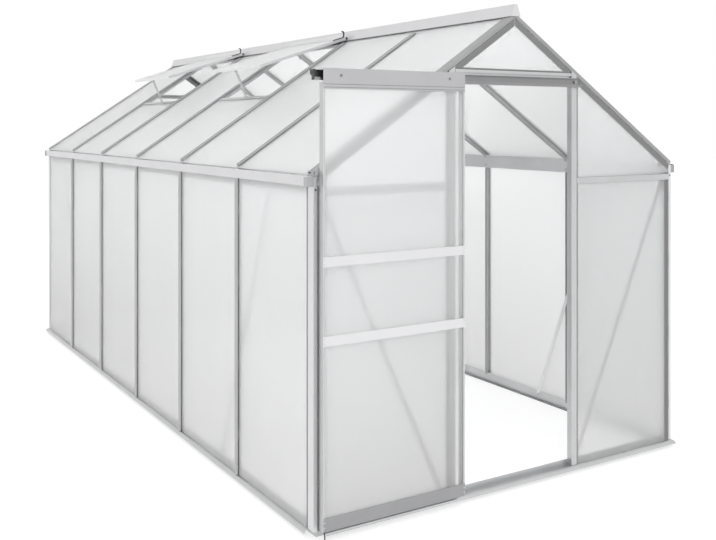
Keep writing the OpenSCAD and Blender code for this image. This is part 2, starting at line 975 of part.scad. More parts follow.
module door_lower_rail() {
    color(metal) at_door() door_rail(rail_levels[0]);
}

module door_header() {
    bottom = door_top - header_h;
    color(metal) at_door() {
        front_plate(bottom, header_h);
        behind_plate(bottom + groove_d + wall_t, [
            [0, -groove_d],
            [wall_t, -groove_d],
            [wall_t, 0],
            [plate_back, 0],
            [plate_back, wall_t],
            [0, wall_t]]);
    }
}

module door_kick_plate() {
    color(metal) at_door() {
        front_plate(door_bottom, kick_h);
        behind_plate(door_bottom + kick_h - groove_d - wall_t, [
            [0, groove_d],
            [wall_t, groove_d],
            [wall_t, 0],
            [plate_back, 0],
            [plate_back, -wall_t],
            [0, -wall_t]]);
    }
}

module door_sheets() {
    levels = [
        door_bottom + kick_h - groove_d - wall_t,
        rail_levels[0] - wall_t / 2,
        rail_levels[0] + wall_t / 2,
        rail_levels[1] - wall_t / 2,
        rail_levels[1] + wall_t / 2,
        door_top - header_h + groove_d + wall_t];
    side = wall_t + 0.5;
    color(milky) at_door() for (i = [0 : 2 : 4])
        translate([side, door_sheet_y, levels[i]])
            cube([door_w - 2 * side, sheet_t, levels[i + 1] - levels[i]]);
}

// Grooved wheel on its axle; local Z runs back from the header plate
module roller() {
    middle = roller_y + door_front - wall_t;
    front = middle - roller_w / 2;
    rear = middle + roller_w / 2;
    hub_r = 5;
    rotate([-90, 0, 0]) rotate_extrude($fn = 48) polygon([
        [0, 0],
        [axle_r, 0],
        [axle_r, front - 2],
        [hub_r, front - 2],
        [hub_r, front],
        [roller_r, front],
        [roller_r, middle - groove_half - 0.8],
        [roller_groove_r, middle - groove_half],
        [roller_groove_r, middle + groove_half],
        [roller_r, middle + groove_half + 0.8],
        [roller_r, rear],
        [hub_r, rear],
        [hub_r, rear + 1.5],
        [0, rear + 1.5]]);
}

module door_rollers() {
    color(dark) at_door() for (x = [roller_inset, door_w - roller_inset])
        translate([x, wall_t - door_front, roller_z]) roller();
}

// ---------- Parts ----------

front_sill();
back_sill();
left_sill();
right_sill();
front_left_corner_post();
front_right_corner_post();
back_left_corner_post();
back_right_corner_post();
left_wall_studs();
right_wall_studs();
front_door_posts();
back_gable_studs();
left_gutter();
right_gutter();
gutter_ends();
ridge_beam();
left_rafters();
right_rafters();
front_gable_rafters();
back_gable_rafters();
front_gable_rails();
back_gable_rails();
door_track();
track_end_caps();
roof_vent_sills();
side_wall_braces();
gable_braces();
left_wall_sheets();
right_wall_sheets();
front_gable_sheets();
back_gable_sheets();
left_roof_sheets();
right_roof_sheets();
front_vent_frame();
front_vent_sheet();
rear_vent_frame();
rear_vent_sheet();
vent_stays();
door_stiles();
door_header();
door_upper_rail();
door_lower_rail();
door_kick_plate();
door_sheets();
door_rollers();
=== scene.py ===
# %% [markdown]
# # A walk-in garden greenhouse
# The house is a cage of thin aluminium extrusions. Milky twin-wall sheets close its walls and roof.
# The CAD model brings every bar, sheet and door rail at its real place and size.
# This lesson gives them their finishes, adds the small hardware that holds them, and sets up
# the camera, floor and lamps of a plain studio.

import json
import math

import bmesh
import bpy
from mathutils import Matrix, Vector


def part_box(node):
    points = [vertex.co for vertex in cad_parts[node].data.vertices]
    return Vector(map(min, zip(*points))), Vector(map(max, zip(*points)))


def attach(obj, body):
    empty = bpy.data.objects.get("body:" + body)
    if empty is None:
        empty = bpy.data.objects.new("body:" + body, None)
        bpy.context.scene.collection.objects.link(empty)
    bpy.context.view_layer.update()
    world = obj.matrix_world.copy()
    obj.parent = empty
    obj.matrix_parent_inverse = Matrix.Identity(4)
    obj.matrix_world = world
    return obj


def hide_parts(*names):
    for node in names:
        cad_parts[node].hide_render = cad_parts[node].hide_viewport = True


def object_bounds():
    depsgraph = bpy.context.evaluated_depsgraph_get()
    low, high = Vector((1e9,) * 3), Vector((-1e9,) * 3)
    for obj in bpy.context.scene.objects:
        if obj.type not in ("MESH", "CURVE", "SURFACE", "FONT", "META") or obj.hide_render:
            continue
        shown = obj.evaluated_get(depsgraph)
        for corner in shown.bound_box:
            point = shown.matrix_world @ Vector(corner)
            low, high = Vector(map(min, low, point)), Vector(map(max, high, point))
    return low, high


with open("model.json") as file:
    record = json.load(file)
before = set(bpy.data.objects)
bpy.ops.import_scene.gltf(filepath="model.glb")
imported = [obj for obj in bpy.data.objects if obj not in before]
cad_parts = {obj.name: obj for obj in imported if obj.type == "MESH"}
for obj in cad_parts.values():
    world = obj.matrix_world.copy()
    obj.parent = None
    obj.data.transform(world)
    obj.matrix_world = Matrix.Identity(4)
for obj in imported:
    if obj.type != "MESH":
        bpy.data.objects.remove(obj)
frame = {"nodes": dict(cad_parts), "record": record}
cad_low, cad_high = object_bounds()
scene = bpy.context.scene
print("CAD box", [round(b - a, 3) for a, b in zip(cad_low, cad_high)])

# %% [markdown]
# ## Measures
# Hardware has to sit on the bars, so its places come from the boxes of the CAD pieces.
# Only the cross-section of the extrusions is written here again, in metres. A bar has a cap outside
# the sheets, seats for them and a channel inside. SHELF is the height of the sills' shelf, RIDGE_RISE
# is how far the ridge stands above the apex of the sheets, and HAIR is a gap too small to see.

# %% Read the house's main lines from the frame
BAYS = 6
SEAT = 0.014
CAP_RISE = 0.008
CHANNEL = 0.018
WALL = 0.0016
SHEET = 0.004
SHELF = 0.030
RIDGE_RISE = 0.046
HAIR = 0.0005
PITCH_DEGREES = 33.4
PITCH = math.radians(PITCH_DEGREES)

wall_x = -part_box("left_wall_sheets")[1][0]
stud_low, stud_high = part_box("left_wall_studs")
bay = (stud_high[1] - stud_low[1] - 2 * SEAT) / (BAYS - 2)
front_y = stud_low[1] + SEAT - bay
back_y = front_y + BAYS * bay
eave_z = stud_high[2]
apex_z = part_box("ridge_beam")[1][2] - RIDGE_RISE
slope_z = apex_z - wall_x * math.tan(PITCH)
slope_length = wall_x / math.cos(PITCH)
print(f"walls at x = {wall_x:.3f}, gables at y = {front_y:.4f} and {back_y:.4f}, bay {bay:.3f}")
print(f"eaves at {eave_z:.3f}, apex at {apex_z:.4f}")

# %% [markdown]
# ## Camera
# The object stands level and its upright bars stay parallel, so the camera looks level as well.
# The lens is shifted down instead of the camera being tilted, as with a view camera.

# %% Set the camera
TURN = math.radians(30.803)
camera_data = bpy.data.cameras.new("camera")
camera_data.sensor_width = 36
camera_data.lens = 46.22
camera_data.shift_x = 0.0352
camera_data.shift_y = -0.2033
camera_data.clip_end = 100
camera = bpy.data.objects.new("camera", camera_data)
camera.location = (-2.5532, front_y - 2.8369, 1.476)
camera.rotation_euler = (math.radians(90), 0, -TURN)
scene.collection.objects.link(camera)
scene.camera = camera
print("camera stands", round((Vector(camera.location) - Vector((0, 0, 1))).length, 2), "m away")

# %% [markdown]
# ## Studio
# A white world lights the milky sheets from every side. It could be plain light everywhere, but then
# metal would have no dark side, so soft lamps add the direction. What the camera, a mirror
# or a clear sheet sees of the world is pure white, whatever its light level is.

# %% Build the world
WORLD_LIGHT = 0.92


def node(tree, kind, **values):
    """A new node; the values are its input sockets or its properties."""
    made = tree.nodes.new(kind)
    for name, value in values.items():
        if name in made.inputs:
            made.inputs[name].default_value = value
        else:
            setattr(made, name, value)
    return made


def math_node(tree, operation, first, second=None):
    """One step of arithmetic; each input is a socket or a number. Returns the result's socket."""
    made = node(tree, "ShaderNodeMath", operation=operation)
    for socket, value in zip(made.inputs, (first, second)):
        if isinstance(value, bpy.types.NodeSocket):
            tree.links.new(value, socket)
        elif value is not None:
            socket.default_value = value
    return made.outputs[0]


def ramp(tree, value, start, end, kind="LINEAR"):
    """A mask that is 0 where the value is start and 1 where it is end."""
    made = node(tree, "ShaderNodeMapRange", interpolation_type=kind)
    tree.links.new(value, made.inputs["Value"])
    made.inputs["From Min"].default_value = start
    made.inputs["From Max"].default_value = end
    return made.outputs[0]


def join(tree, *pairs):
    """Links sockets in pairs, from the first to the second."""
    for first, second in zip(pairs[::2], pairs[1::2]):
        tree.links.new(first, second)


def seen_directly(tree):
    """1 for camera, glossy and transmission rays, and 0 for the rays that light things."""
    path = node(tree, "ShaderNodeLightPath")
    either = math_node(tree, "MAXIMUM", path.outputs["Is Camera Ray"], path.outputs["Is Glossy Ray"])
    return math_node(tree, "MAXIMUM", either, path.outputs["Is Transmission Ray"])


scene.view_settings.view_transform = "Standard"
world = bpy.data.worlds.new("studio")
scene.world = world
world.use_nodes = True
tree = world.node_tree
tree.nodes.clear()
light = node(tree, "ShaderNodeBackground", Strength=WORLD_LIGHT)
white = node(tree, "ShaderNodeBackground", Strength=1.0)
for shade in (light, white):
    shade.inputs["Color"].default_value = (1, 1, 1, 1)
mix = node(tree, "ShaderNodeMixShader")
out = node(tree, "ShaderNodeOutputWorld")
join(tree,
     seen_directly(tree), mix.inputs[0],
     light.outputs[0], mix.inputs[1],
     white.outputs[0], mix.inputs[2],
     mix.outputs[0], out.inputs[0])
print("world light", WORLD_LIGHT)

# %% Hang the lamps


def lamp(name, place, aim, size, power, mirrored=True):
    """A square soft lamp that looks at a point. Metal shows it only if it is mirrored."""
    data = bpy.data.lights.new(name, "AREA")
    data.shape = "SQUARE"
    data.size = size
    data.energy = power
    made = bpy.data.objects.new(name, data)
    made.location = place
    made.rotation_euler = (Vector(aim) - Vector(place)).to_track_quat("-Z", "Y").to_euler()
    made.visible_glossy = mirrored
    scene.collection.objects.link(made)
    return made


middle = (0, 0, 0.8)
lamp("key", (-4.5, front_y - 3.5, 2.4), middle, 4.0, 125, mirrored=False)
lamp("front", (2.5, front_y - 6.0, 2.5), middle, 3.0, 10)
lamp("top", (0, 0, 6.5), middle, 5.0, 52, mirrored=False)
lamp("far", (4.6, 6.4, 3.4), middle, 5.0, 75, mirrored=False)

# %% Lay the floor
FLOOR = 60
FLOOR_GLOW = 0.62

floor_mesh = bpy.data.meshes.new("floor")
half = FLOOR / 2
floor_mesh.from_pydata(
    [(-half, -half, 0), (half, -half, 0), (half, half, 0), (-half, half, 0)], [], [(0, 1, 2, 3)]
)
floor = bpy.data.objects.new("floor", floor_mesh)
floor.location.z = cad_low[2] - HAIR
scene.collection.objects.link(floor)
paint = bpy.data.materials.new("floor")
paint.use_nodes = True
tree = paint.node_tree
tree.nodes.clear()
matte = node(tree, "ShaderNodeBsdfDiffuse")
matte.inputs["Color"].default_value = (0.5, 0.5, 0.5, 1)
glow = node(tree, "ShaderNodeEmission")
add = node(tree, "ShaderNodeAddShader")
out = node(tree, "ShaderNodeOutputMaterial")
join(tree,
     math_node(tree, "MULTIPLY", seen_directly(tree), FLOOR_GLOW), glow.inputs["Strength"],
     matte.outputs[0], add.inputs[0],
     glow.outputs[0], add.inputs[1],
     add.outputs[0], out.inputs["Surface"])
floor_mesh.materials.append(paint)
print("floor at z =", round(floor.location.z, 4))

# %% [markdown]
# ## Finishes shared by several materials
# Extruded aluminium comes out of its die with fine lines drawn along the bar, and cloudy patches
# where the oxide and the handling differ. A picture could show that, but noise that is stretched
# along the bar does it at any size. Bars run four ways, so the group takes the stretch as a value,
# and it folds both roof slopes onto one so that their bars can share a material.

# %% Group: lines drawn along a bar


def shader_group(name, inputs, outputs):
    """An empty shader group with its sockets. Inputs and outputs are lists of (name, kind, value)."""
    tree = bpy.data.node_groups.new(name, "ShaderNodeTree")
    for side, sockets in (("INPUT", inputs), ("OUTPUT", outputs)):
        for label, kind, value in sockets:
            made = tree.interface.new_socket(label, in_out=side, socket_type="NodeSocket" + kind)
            if value is not None:
                made.default_value = value
    return tree, node(tree, "NodeGroupInput"), node(tree, "NodeGroupOutput")


drawn, given, result = shader_group(
    "drawn_lines",
    [("Vector", "Vector", None), ("Slope", "Float", 0.0), ("Stretch", "Vector", (1, 1, 1)),
     ("Cloud scale", "Float", 7.0)],
    [("Lines", "Float", None), ("Clouds", "Float", None)],
)
parts = node(drawn, "ShaderNodeSeparateXYZ")
folded = node(drawn, "ShaderNodeCombineXYZ")
turned_to = node(drawn, "ShaderNodeVectorRotate", rotation_type="Y_AXIS")
stretched = node(drawn, "ShaderNodeVectorMath", operation="MULTIPLY")
fine = node(drawn, "ShaderNodeTexNoise", Scale=1.0, Detail=2.0, Roughness=0.6)
clouds = node(drawn, "ShaderNodeTexNoise", Detail=4.0, Roughness=0.55)
join(drawn,
     given.outputs["Vector"], parts.inputs[0],
     math_node(drawn, "ABSOLUTE", parts.outputs["X"]), folded.inputs["X"],
     parts.outputs["Y"], folded.inputs["Y"],
     parts.outputs["Z"], folded.inputs["Z"],
     folded.outputs[0], turned_to.inputs["Vector"],
     given.outputs["Slope"], turned_to.inputs["Angle"],
     turned_to.outputs[0], stretched.inputs[0],
     given.outputs["Stretch"], stretched.inputs[1],
     stretched.outputs[0], fine.inputs["Vector"],
     fine.outputs["Fac"], result.inputs["Lines"],
     given.outputs["Vector"], clouds.inputs["Vector"],
     given.outputs["Cloud scale"], clouds.inputs["Scale"],
     clouds.outputs["Fac"], result.inputs["Clouds"])
print("group", drawn.name, "has", len(drawn.nodes), "nodes")

# %% [markdown]
# Corners rub bright on metal and pale on plastic, and on metal the bright corners are also a painted
# highlight along the edges. Painting them by hand would take a picture,
# so the group compares the surface's own normal with one that is rounded over a small radius.
# They differ only at an edge.

# %% Group: edges that are worn and, on metal, carry a painted highlight
worn_and_highlit, given, result = shader_group(
    "worn_and_highlit_edges", [("Radius", "Float", 0.0012)], [("Edge", "Float", None)]
)
rounded = node(worn_and_highlit, "ShaderNodeBevel", samples=4)
flat = node(worn_and_highlit, "ShaderNodeNewGeometry")
same = node(worn_and_highlit, "ShaderNodeVectorMath", operation="DOT_PRODUCT")
join(worn_and_highlit,
     given.outputs["Radius"], rounded.inputs["Radius"],
     rounded.outputs[0], same.inputs[0],
     flat.outputs["Normal"], same.inputs[1],
     ramp(worn_and_highlit, same.outputs["Value"], 1.0, 0.75), result.inputs["Edge"])
print("group", worn_and_highlit.name, "has", len(worn_and_highlit.nodes), "nodes")

# %% [markdown]
# The door's flat bars have two shallow grooves from the die. They could be cut into the mesh, but
# they are a millimetre deep, so the group marks two levels and the metal is painted darker there, as
# painted shade in the grooves.

# %% Group: grooves at two levels
grooves, given, result = shader_group(
    "die_grooves",
    [("Height", "Float", 0.0), ("First", "Float", 0.0), ("Second", "Float", 0.0),
     ("Width", "Float", 0.002)],
    [("Groove", "Float", None)],
)
near_one = []
for level in ("First", "Second"):
    away = math_node(grooves, "SUBTRACT", given.outputs["Height"], given.outputs[level])
    share = math_node(grooves, "DIVIDE", math_node(grooves, "ABSOLUTE", away), given.outputs["Width"])
    near_one.append(math_node(grooves, "MAXIMUM", math_node(grooves, "SUBTRACT", 1.0, share), 0.0))
grooves.links.new(math_node(grooves, "MAXIMUM", near_one[0], near_one[1]), result.inputs["Groove"])
print("group", grooves.name, "has", len(grooves.nodes), "nodes")

# %% [markdown]
# A twin-wall sheet is two skins joined by a thin web every 6 mm. The webs show as faint lines down
# the sheet, and no two cells are quite alike. The group turns one coordinate, measured across the
# webs, into a mask for the webs, a shade for each cell and slow streaks a few cells wide.

# %% Group: cells of a twin-wall sheet
CELL = 0.006

cells, given, result = shader_group(
    "sheet_cells",
    [("Across", "Float", 0.0), ("Cell", "Float", CELL)],
    [("Web", "Float", None), ("Shade", "Float", None), ("Streak", "Float", None)],
)
count = math_node(cells, "DIVIDE", given.outputs["Across"], given.outputs["Cell"])
off = math_node(cells, "ABSOLUTE", math_node(cells, "SUBTRACT", math_node(cells, "FRACT", count), 0.5))
each = node(cells, "ShaderNodeTexWhiteNoise", noise_dimensions="1D")
slow = node(cells, "ShaderNodeTexNoise", noise_dimensions="1D", Scale=24.0, Detail=3.0, Roughness=0.7)
join(cells,
     ramp(cells, off, 0.34, 0.5, "SMOOTHSTEP"), result.inputs["Web"],
     math_node(cells, "FLOOR", count), each.inputs["W"],
     each.outputs["Value"], result.inputs["Shade"],
     given.outputs["Across"], slow.inputs["W"],
     slow.outputs["Fac"], result.inputs["Streak"])
print("group", cells.name, "has", len(cells.nodes), "nodes")

# %% [markdown]
# ## Aluminium
# The bars are plain mill-finish metal, so the shader is fully metallic and mirrors the white studio
# softly. Its colour stays near that of aluminium and only drifts with the clouds. The drawn lines
# go into roughness and a very low bump. The corners are a little brighter and smoother, partly as
# wear and partly as a painted highlight along the edges.
# Each kind has its own pair of tones, set paler or darker to paint in light and shade: the sloping
# bars, covers, track, header and kick plate carry painted shade, and the rails, gutters, rafters,
# corners, braces and vents carry painted light.

# %% Make the aluminium
ALONG = 5.0
ACROSS = 1400.0
# Paler tone of the edges: partly wear, partly a painted highlight.
WORN_AND_HIGHLIGHT_METAL = (0.78, 0.785, 0.79, 1)
PAINTED_GROOVE_SHADE = (0.2, 0.2, 0.205, 1)


def group_node(tree, group, **values):
    """A group placed in a material, with its input values."""
    made = node(tree, "ShaderNodeGroup", node_tree=group)
    for label, value in values.items():
        made.inputs[label.replace("_", " ")].default_value = value
    return made


def map_to(tree, value, low, high):
    """A mask from 0 to 1 mapped to a range."""
    made = node(tree, "ShaderNodeMapRange")
    tree.links.new(value, made.inputs["Value"])
    made.inputs["To Min"].default_value = low
    made.inputs["To Max"].default_value = high
    return made.outputs[0]


def blend_colours(tree, mask, first, second):
    """The first colour where the mask is 0 and the second where it is 1."""
    made = node(tree, "ShaderNodeMix", data_type="RGBA")
    tree.links.new(mask, made.inputs["Factor"])
    for socket, value in zip((made.inputs[6], made.inputs[7]), (first, second)):
        if isinstance(value, bpy.types.NodeSocket):
            tree.links.new(value, socket)
        else:
            socket.default_value = value
    return made.outputs[2]


def new_material(name):
    """A material with its Principled shader and its Object coordinates."""
    made = bpy.data.materials.new(name)
    made.use_nodes = True
    skin = made.node_tree.nodes["Principled BSDF"]
    where = node(made.node_tree, "ShaderNodeTexCoord").outputs["Object"]
    return made, made.node_tree, skin, where


def add_bump(tree, skin, height, strength, distance):
    """A bump from a mask into the shader's normal."""
    made = node(tree, "ShaderNodeBump", Strength=strength, Distance=distance)
    tree.links.new(height, made.inputs["Height"])
    tree.links.new(made.outputs[0], skin.inputs["Normal"])


def make_aluminium(name, lay, dull, bright, rough, cut=()):
    """Mill-finish aluminium; dull and bright are the tones of its clouds.

    A lay is the stretch of its lines, which run the way that is stretched least, and their slope.
    The cut gives the heights of two grooves.
    """
    made, tree, skin, where = new_material(name)
    skin.inputs["Metallic"].default_value = 1.0
    stretch, slope = lay
    lines = group_node(tree, drawn, Slope=slope, Stretch=stretch)
    tree.links.new(where, lines.inputs["Vector"])
    edge_wear_and_highlight = group_node(tree, worn_and_highlit)
    body = blend_colours(tree, lines.outputs["Clouds"], (*dull, 1), (*bright, 1))
    # Edges get a paler tone: partly wear, partly a painted highlight.
    shine = blend_colours(tree, edge_wear_and_highlight.outputs["Edge"], body, WORN_AND_HIGHLIGHT_METAL)
    if cut:
        parts = node(tree, "ShaderNodeSeparateXYZ")
        tree.links.new(where, parts.inputs[0])
        groove = group_node(tree, grooves, First=cut[0], Second=cut[1])
        tree.links.new(parts.outputs["Z"], groove.inputs["Height"])
        # Painted shade in the header's two grooves.
        shine = blend_colours(tree, groove.outputs["Groove"], shine, PAINTED_GROOVE_SHADE)
    tree.links.new(shine, skin.inputs["Base Color"])
    drift = map_to(tree, lines.outputs["Lines"], rough - 0.10, rough + 0.12)
    less = math_node(tree, "MULTIPLY", edge_wear_and_highlight.outputs["Edge"], 0.08)
    tree.links.new(math_node(tree, "SUBTRACT", drift, less), skin.inputs["Roughness"])
    add_bump(tree, skin, lines.outputs["Lines"], 0.35, 0.00006)
    return made


UPRIGHT = ((ACROSS, ACROSS, ALONG), 0.0)
CROSSWISE = ((ALONG, ACROSS, ACROSS), 0.0)
LENGTHWISE = ((ACROSS, ALONG, ACROSS), 0.0)
UPHILL = ((ALONG, ACROSS, ACROSS), -PITCH)
EVEN = ((300, 300, 300), 0.0)
# These pairs of tones paint light and shade onto one aluminium.
PLAIN = (0.50, 0.505, 0.51), (0.62, 0.625, 0.63)
PAINTED_LIGHT_PALE = (0.70, 0.702, 0.71), (0.78, 0.782, 0.79)
COVERS = (0.40, 0.402, 0.405), (0.50, 0.502, 0.505)
header_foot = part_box("door_header")[0][2]
# Each row has a lay, a dull and a bright tone, a roughness and, for the header, its two grooves.
METALS = {
    "upright": (UPRIGHT, *PLAIN, 0.34),
    "across": (CROSSWISE, *PLAIN, 0.34),
    "lengthwise": (LENGTHWISE, *PLAIN, 0.34),
    "sloping": (UPHILL, (0.32, 0.322, 0.325), (0.42, 0.422, 0.425), 0.34),
    "braces": (UPRIGHT, *PAINTED_LIGHT_PALE, 0.34),
    "vents": (LENGTHWISE, *PAINTED_LIGHT_PALE, 0.34),
    "rafters": (UPHILL, (0.58, 0.582, 0.585), (0.68, 0.682, 0.685), 0.34),
    "wall_covers": (UPRIGHT, *COVERS, 0.36),
    "roof_covers": (UPHILL, *COVERS, 0.36),
    "track": (CROSSWISE, (0.26, 0.26, 0.265), (0.34, 0.34, 0.345), 0.36),
    "rails": (CROSSWISE, (0.70, 0.70, 0.71), (0.76, 0.76, 0.77), 0.38),
    "gutters": (LENGTHWISE, (0.64, 0.64, 0.65), (0.74, 0.74, 0.75), 0.38),
    "header": (CROSSWISE, (0.43, 0.43, 0.44), (0.51, 0.51, 0.52), 0.36,
               (header_foot + 0.006, header_foot + 0.017)),
    "corners": (UPRIGHT, (0.72, 0.72, 0.73), (0.8, 0.8, 0.81), 0.6),
    "kick_plate": (CROSSWISE, (0.33, 0.33, 0.34), (0.39, 0.39, 0.4), 0.4),
    "hardware": (EVEN, (0.5, 0.5, 0.51), (0.74, 0.74, 0.75), 0.3),
}
metal = {name: make_aluminium("aluminium_" + name, *look) for name, look in METALS.items()}
hardware = metal["hardware"]
zinc = make_aluminium("zinc_bolts", EVEN, (0.16, 0.16, 0.165), (0.3, 0.3, 0.305), 0.4)
print(len(metal), "looks for aluminium and one for zinc")

# %% [markdown]
# ## Polycarbonate
# The sheets are milky: what stands close behind them shows as a soft shape, and what is far is lost.
# Transmission with some roughness does exactly that, because the blur grows with distance.
# A sheet also lets the daylight in. Rough glass blocks lamp light in the renderer, so the sheets are
# partly see-through for shadow rays only, which keeps the inside of the house bright. Every sheet is
# painted darker towards its foot as painted shade, and the front gable's sheets under its eaves carry
# painted shade too.

# %% Make the sheets
CELL_TONES = (0.974, 0.978, 0.98, 1), (0.98, 0.984, 0.986, 1)
STREAK_TONE = (0.962, 0.967, 0.97, 1)
WEB_TONE = (0.88, 0.89, 0.9, 1)
FOOT_SHADE_TONE = (0.86, 0.862, 0.86, 1)
EAVE_SHADE_TONE = (0.84, 0.845, 0.847, 1)
EAVE_BLUR = 0.01


def make_sheet(name, axis, clear=0.76, foot_shade_height=0.9, eave_shade=False):
    """Twin-wall sheet whose webs stand one cell apart along an axis.

    One value gives how high the painted shade at the foot of the sheet reaches, and the other puts
    painted shade on the bays under the eaves.
    """
    made, tree, skin, where = new_material(name)
    skin.inputs["Transmission Weight"].default_value = clear
    skin.inputs["IOR"].default_value = 1.45
    parts = node(tree, "ShaderNodeSeparateXYZ")
    tree.links.new(where, parts.inputs[0])
    lot = group_node(tree, cells)
    tree.links.new(parts.outputs[axis], lot.inputs["Across"])
    tone = blend_colours(tree, lot.outputs["Shade"], *CELL_TONES)
    tone = blend_colours(tree, map_to(tree, lot.outputs["Streak"], 0.0, 0.5), tone, STREAK_TONE)
    tone = blend_colours(tree, math_node(tree, "MULTIPLY", lot.outputs["Web"], 0.5), tone, WEB_TONE)
    # Painted shade on the front gable's bays under the eaves.
    if eave_shade:
        under = ramp(tree, parts.outputs["Z"], eave_z + EAVE_BLUR, eave_z - EAVE_BLUR)
        tone = blend_colours(tree, under, tone, EAVE_SHADE_TONE)
    # Painted shade: the sheet is darker towards its foot.
    low = ramp(tree, parts.outputs["Z"], foot_shade_height, 0.0, "SMOOTHSTEP")
    tone = blend_colours(tree, low, tone, FOOT_SHADE_TONE)
    haze = map_to(tree, lot.outputs["Streak"], 0.29, 0.33)
    uneven = math_node(tree, "MULTIPLY", lot.outputs["Shade"], 0.02)
    path = node(tree, "ShaderNodeLightPath")
    let_in = math_node(tree, "MULTIPLY", path.outputs["Is Shadow Ray"], 0.95)
    join(tree,
         tone, skin.inputs["Base Color"],
         math_node(tree, "ADD", haze, uneven), skin.inputs["Roughness"],
         math_node(tree, "SUBTRACT", 1.0, let_in), skin.inputs["Alpha"])
    return made


wall_sheet = make_sheet("polycarbonate_walls", "Y", foot_shade_height=1.2)
roof_sheet = make_sheet("polycarbonate_roof", "Y", clear=0.78)
# The front gable's sheets are a copy with painted shade under the eaves.
shaded_front_sheet = make_sheet("polycarbonate_front_shaded", "X", eave_shade=True)
gable_sheet = make_sheet("polycarbonate_gables", "X")
print("four kinds of sheet, with a web every", CELL, "m")

# %% [markdown]
# ## Plastic
# End caps, rollers and trims are moulded, with a fine even grain from the mould. One group makes the
# grain for the black and for the grey parts.

# %% Make the plastics
grain, given, result = shader_group(
    "moulded_grain", [("Vector", "Vector", None), ("Scale", "Float", 2600.0)],
    [("Grain", "Float", None), ("Drift", "Float", None)],
)
pits = node(grain, "ShaderNodeTexVoronoi", feature="SMOOTH_F1")
drift = node(grain, "ShaderNodeTexNoise", Scale=40.0, Detail=3.0)
join(grain,
     given.outputs["Vector"], pits.inputs["Vector"],
     given.outputs["Scale"], pits.inputs["Scale"],
     pits.outputs["Distance"], result.inputs["Grain"],
     given.outputs["Vector"], drift.inputs["Vector"],
     drift.outputs["Fac"], result.inputs["Drift"])


def make_plastic(name, colour, pale, rough):
    """Moulded plastic with a fine grain and slightly paler corners."""
    made, tree, skin, where = new_material(name)
    look = group_node(tree, grain)
    tree.links.new(where, look.inputs["Vector"])
    edge_wear_and_highlight = group_node(tree, worn_and_highlit, Radius=0.0008)
    body = blend_colours(tree, look.outputs["Drift"], colour, pale)
    tree.links.new(blend_colours(tree, edge_wear_and_highlight.outputs["Edge"], body, pale), skin.inputs["Base Color"])
    roughness = map_to(tree, look.outputs["Drift"], rough - 0.06, rough + 0.08)
    tree.links.new(roughness, skin.inputs["Roughness"])
    add_bump(tree, skin, look.outputs["Grain"], 0.3, 0.0001)
    return made


black = make_plastic("moulded_black", (0.018, 0.018, 0.02, 1), (0.05, 0.05, 0.053, 1), 0.45)
grey = make_plastic("moulded_grey", (0.36, 0.365, 0.37, 1), (0.50, 0.505, 0.51, 1), 0.5)
print("plastics", black.name, grey.name)

# %% [markdown]
# ## Finishes on the CAD pieces
# A piece's slot says what it is made of, and the end of its name says which bar it is.

# %% Dress the CAD pieces
BARS = {
    "corners": ("corner_post",),
    "braces": ("braces", "stays"),
    "vents": ("vent_frame",),
    "track": ("door_track",),
    "across": ("front_sill", "back_sill", "rails"),
    "rails": ("upper_rail", "lower_rail"),
    "header": ("header",),
    "kick_plate": ("kick_plate",),
    "rafters": ("left_rafters", "right_rafters"),
    "sloping": ("gable_rafters",),
    "gutters": ("gutter", "beam"),
    "lengthwise": ("left_sill", "right_sill", "vent_sills"),
}


def finish_for(name, slot):
    """The material of a CAD piece. Bars that no ending names are posts, studs and stiles."""
    if slot == "black_plastic":
        return black
    if slot == "grey_plastic":
        return grey
    if name == "front_gable_sheets":
        return shaded_front_sheet
    if slot == "polycarbonate":
        if "gable" in name or "door" in name:
            return gable_sheet
        return roof_sheet if "roof" in name or "vent" in name else wall_sheet
    for finish, endings in BARS.items():
        if name.endswith(endings):
            return metal[finish]
    return metal["upright"]


for part in frame["record"]["subparts"]:
    piece = frame["nodes"][part["node"]]
    piece.data.materials.clear()
    piece.data.materials.append(finish_for(part["node"], part["material_slot"]))
    print(part["node"], piece.data.materials[0].name)

# %% [markdown]
# ## Small hardware
# A frame like this is held together by nuts on the inside, and its sheets by bent wire clips outside.
# There are scores of both, so each is made once and Geometry Nodes sets it out. A mesh of loose
# points or edges says where; its attributes say which way each piece faces. The result is turned
# into one plain mesh for each body, because the export keeps no instances.

# %% Helpers for setting out


def geometry_tree(name, inputs):
    """An empty Geometry Nodes tree with a geometry in and out, and its named inputs."""
    tree = bpy.data.node_groups.new(name, "GeometryNodeTree")
    sockets = [("Geometry", "Geometry", None)] + inputs
    for label, kind, value in sockets:
        made = tree.interface.new_socket(label, in_out="INPUT", socket_type="NodeSocket" + kind)
        if value is not None:
            made.default_value = value
    tree.interface.new_socket("Geometry", in_out="OUTPUT", socket_type="NodeSocketGeometry")
    return tree, node(tree, "NodeGroupInput"), node(tree, "NodeGroupOutput")


def build(tree, name, base, values, body):
    """Runs a tree on a mesh and keeps the result as a plain piece that rides on a body."""
    source = bpy.data.objects.new(name + "_source", base)
    scene.collection.objects.link(source)
    step = source.modifiers.new("build", "NODES")
    step.node_group = tree
    for item in tree.interface.items_tree:
        if item.in_out == "INPUT" and item.name in values:
            step[item.identifier] = values[item.name]
    bpy.context.view_layer.update()
    graph = bpy.context.evaluated_depsgraph_get()
    mesh = bpy.data.meshes.new_from_object(source.evaluated_get(graph))
    mesh.name = name
    made = bpy.data.objects.new(name, mesh)
    scene.collection.objects.link(made)
    bpy.data.objects.remove(source)
    bpy.data.meshes.remove(base)
    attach(made, body)
    print(name, len(mesh.polygons), "faces")
    return made


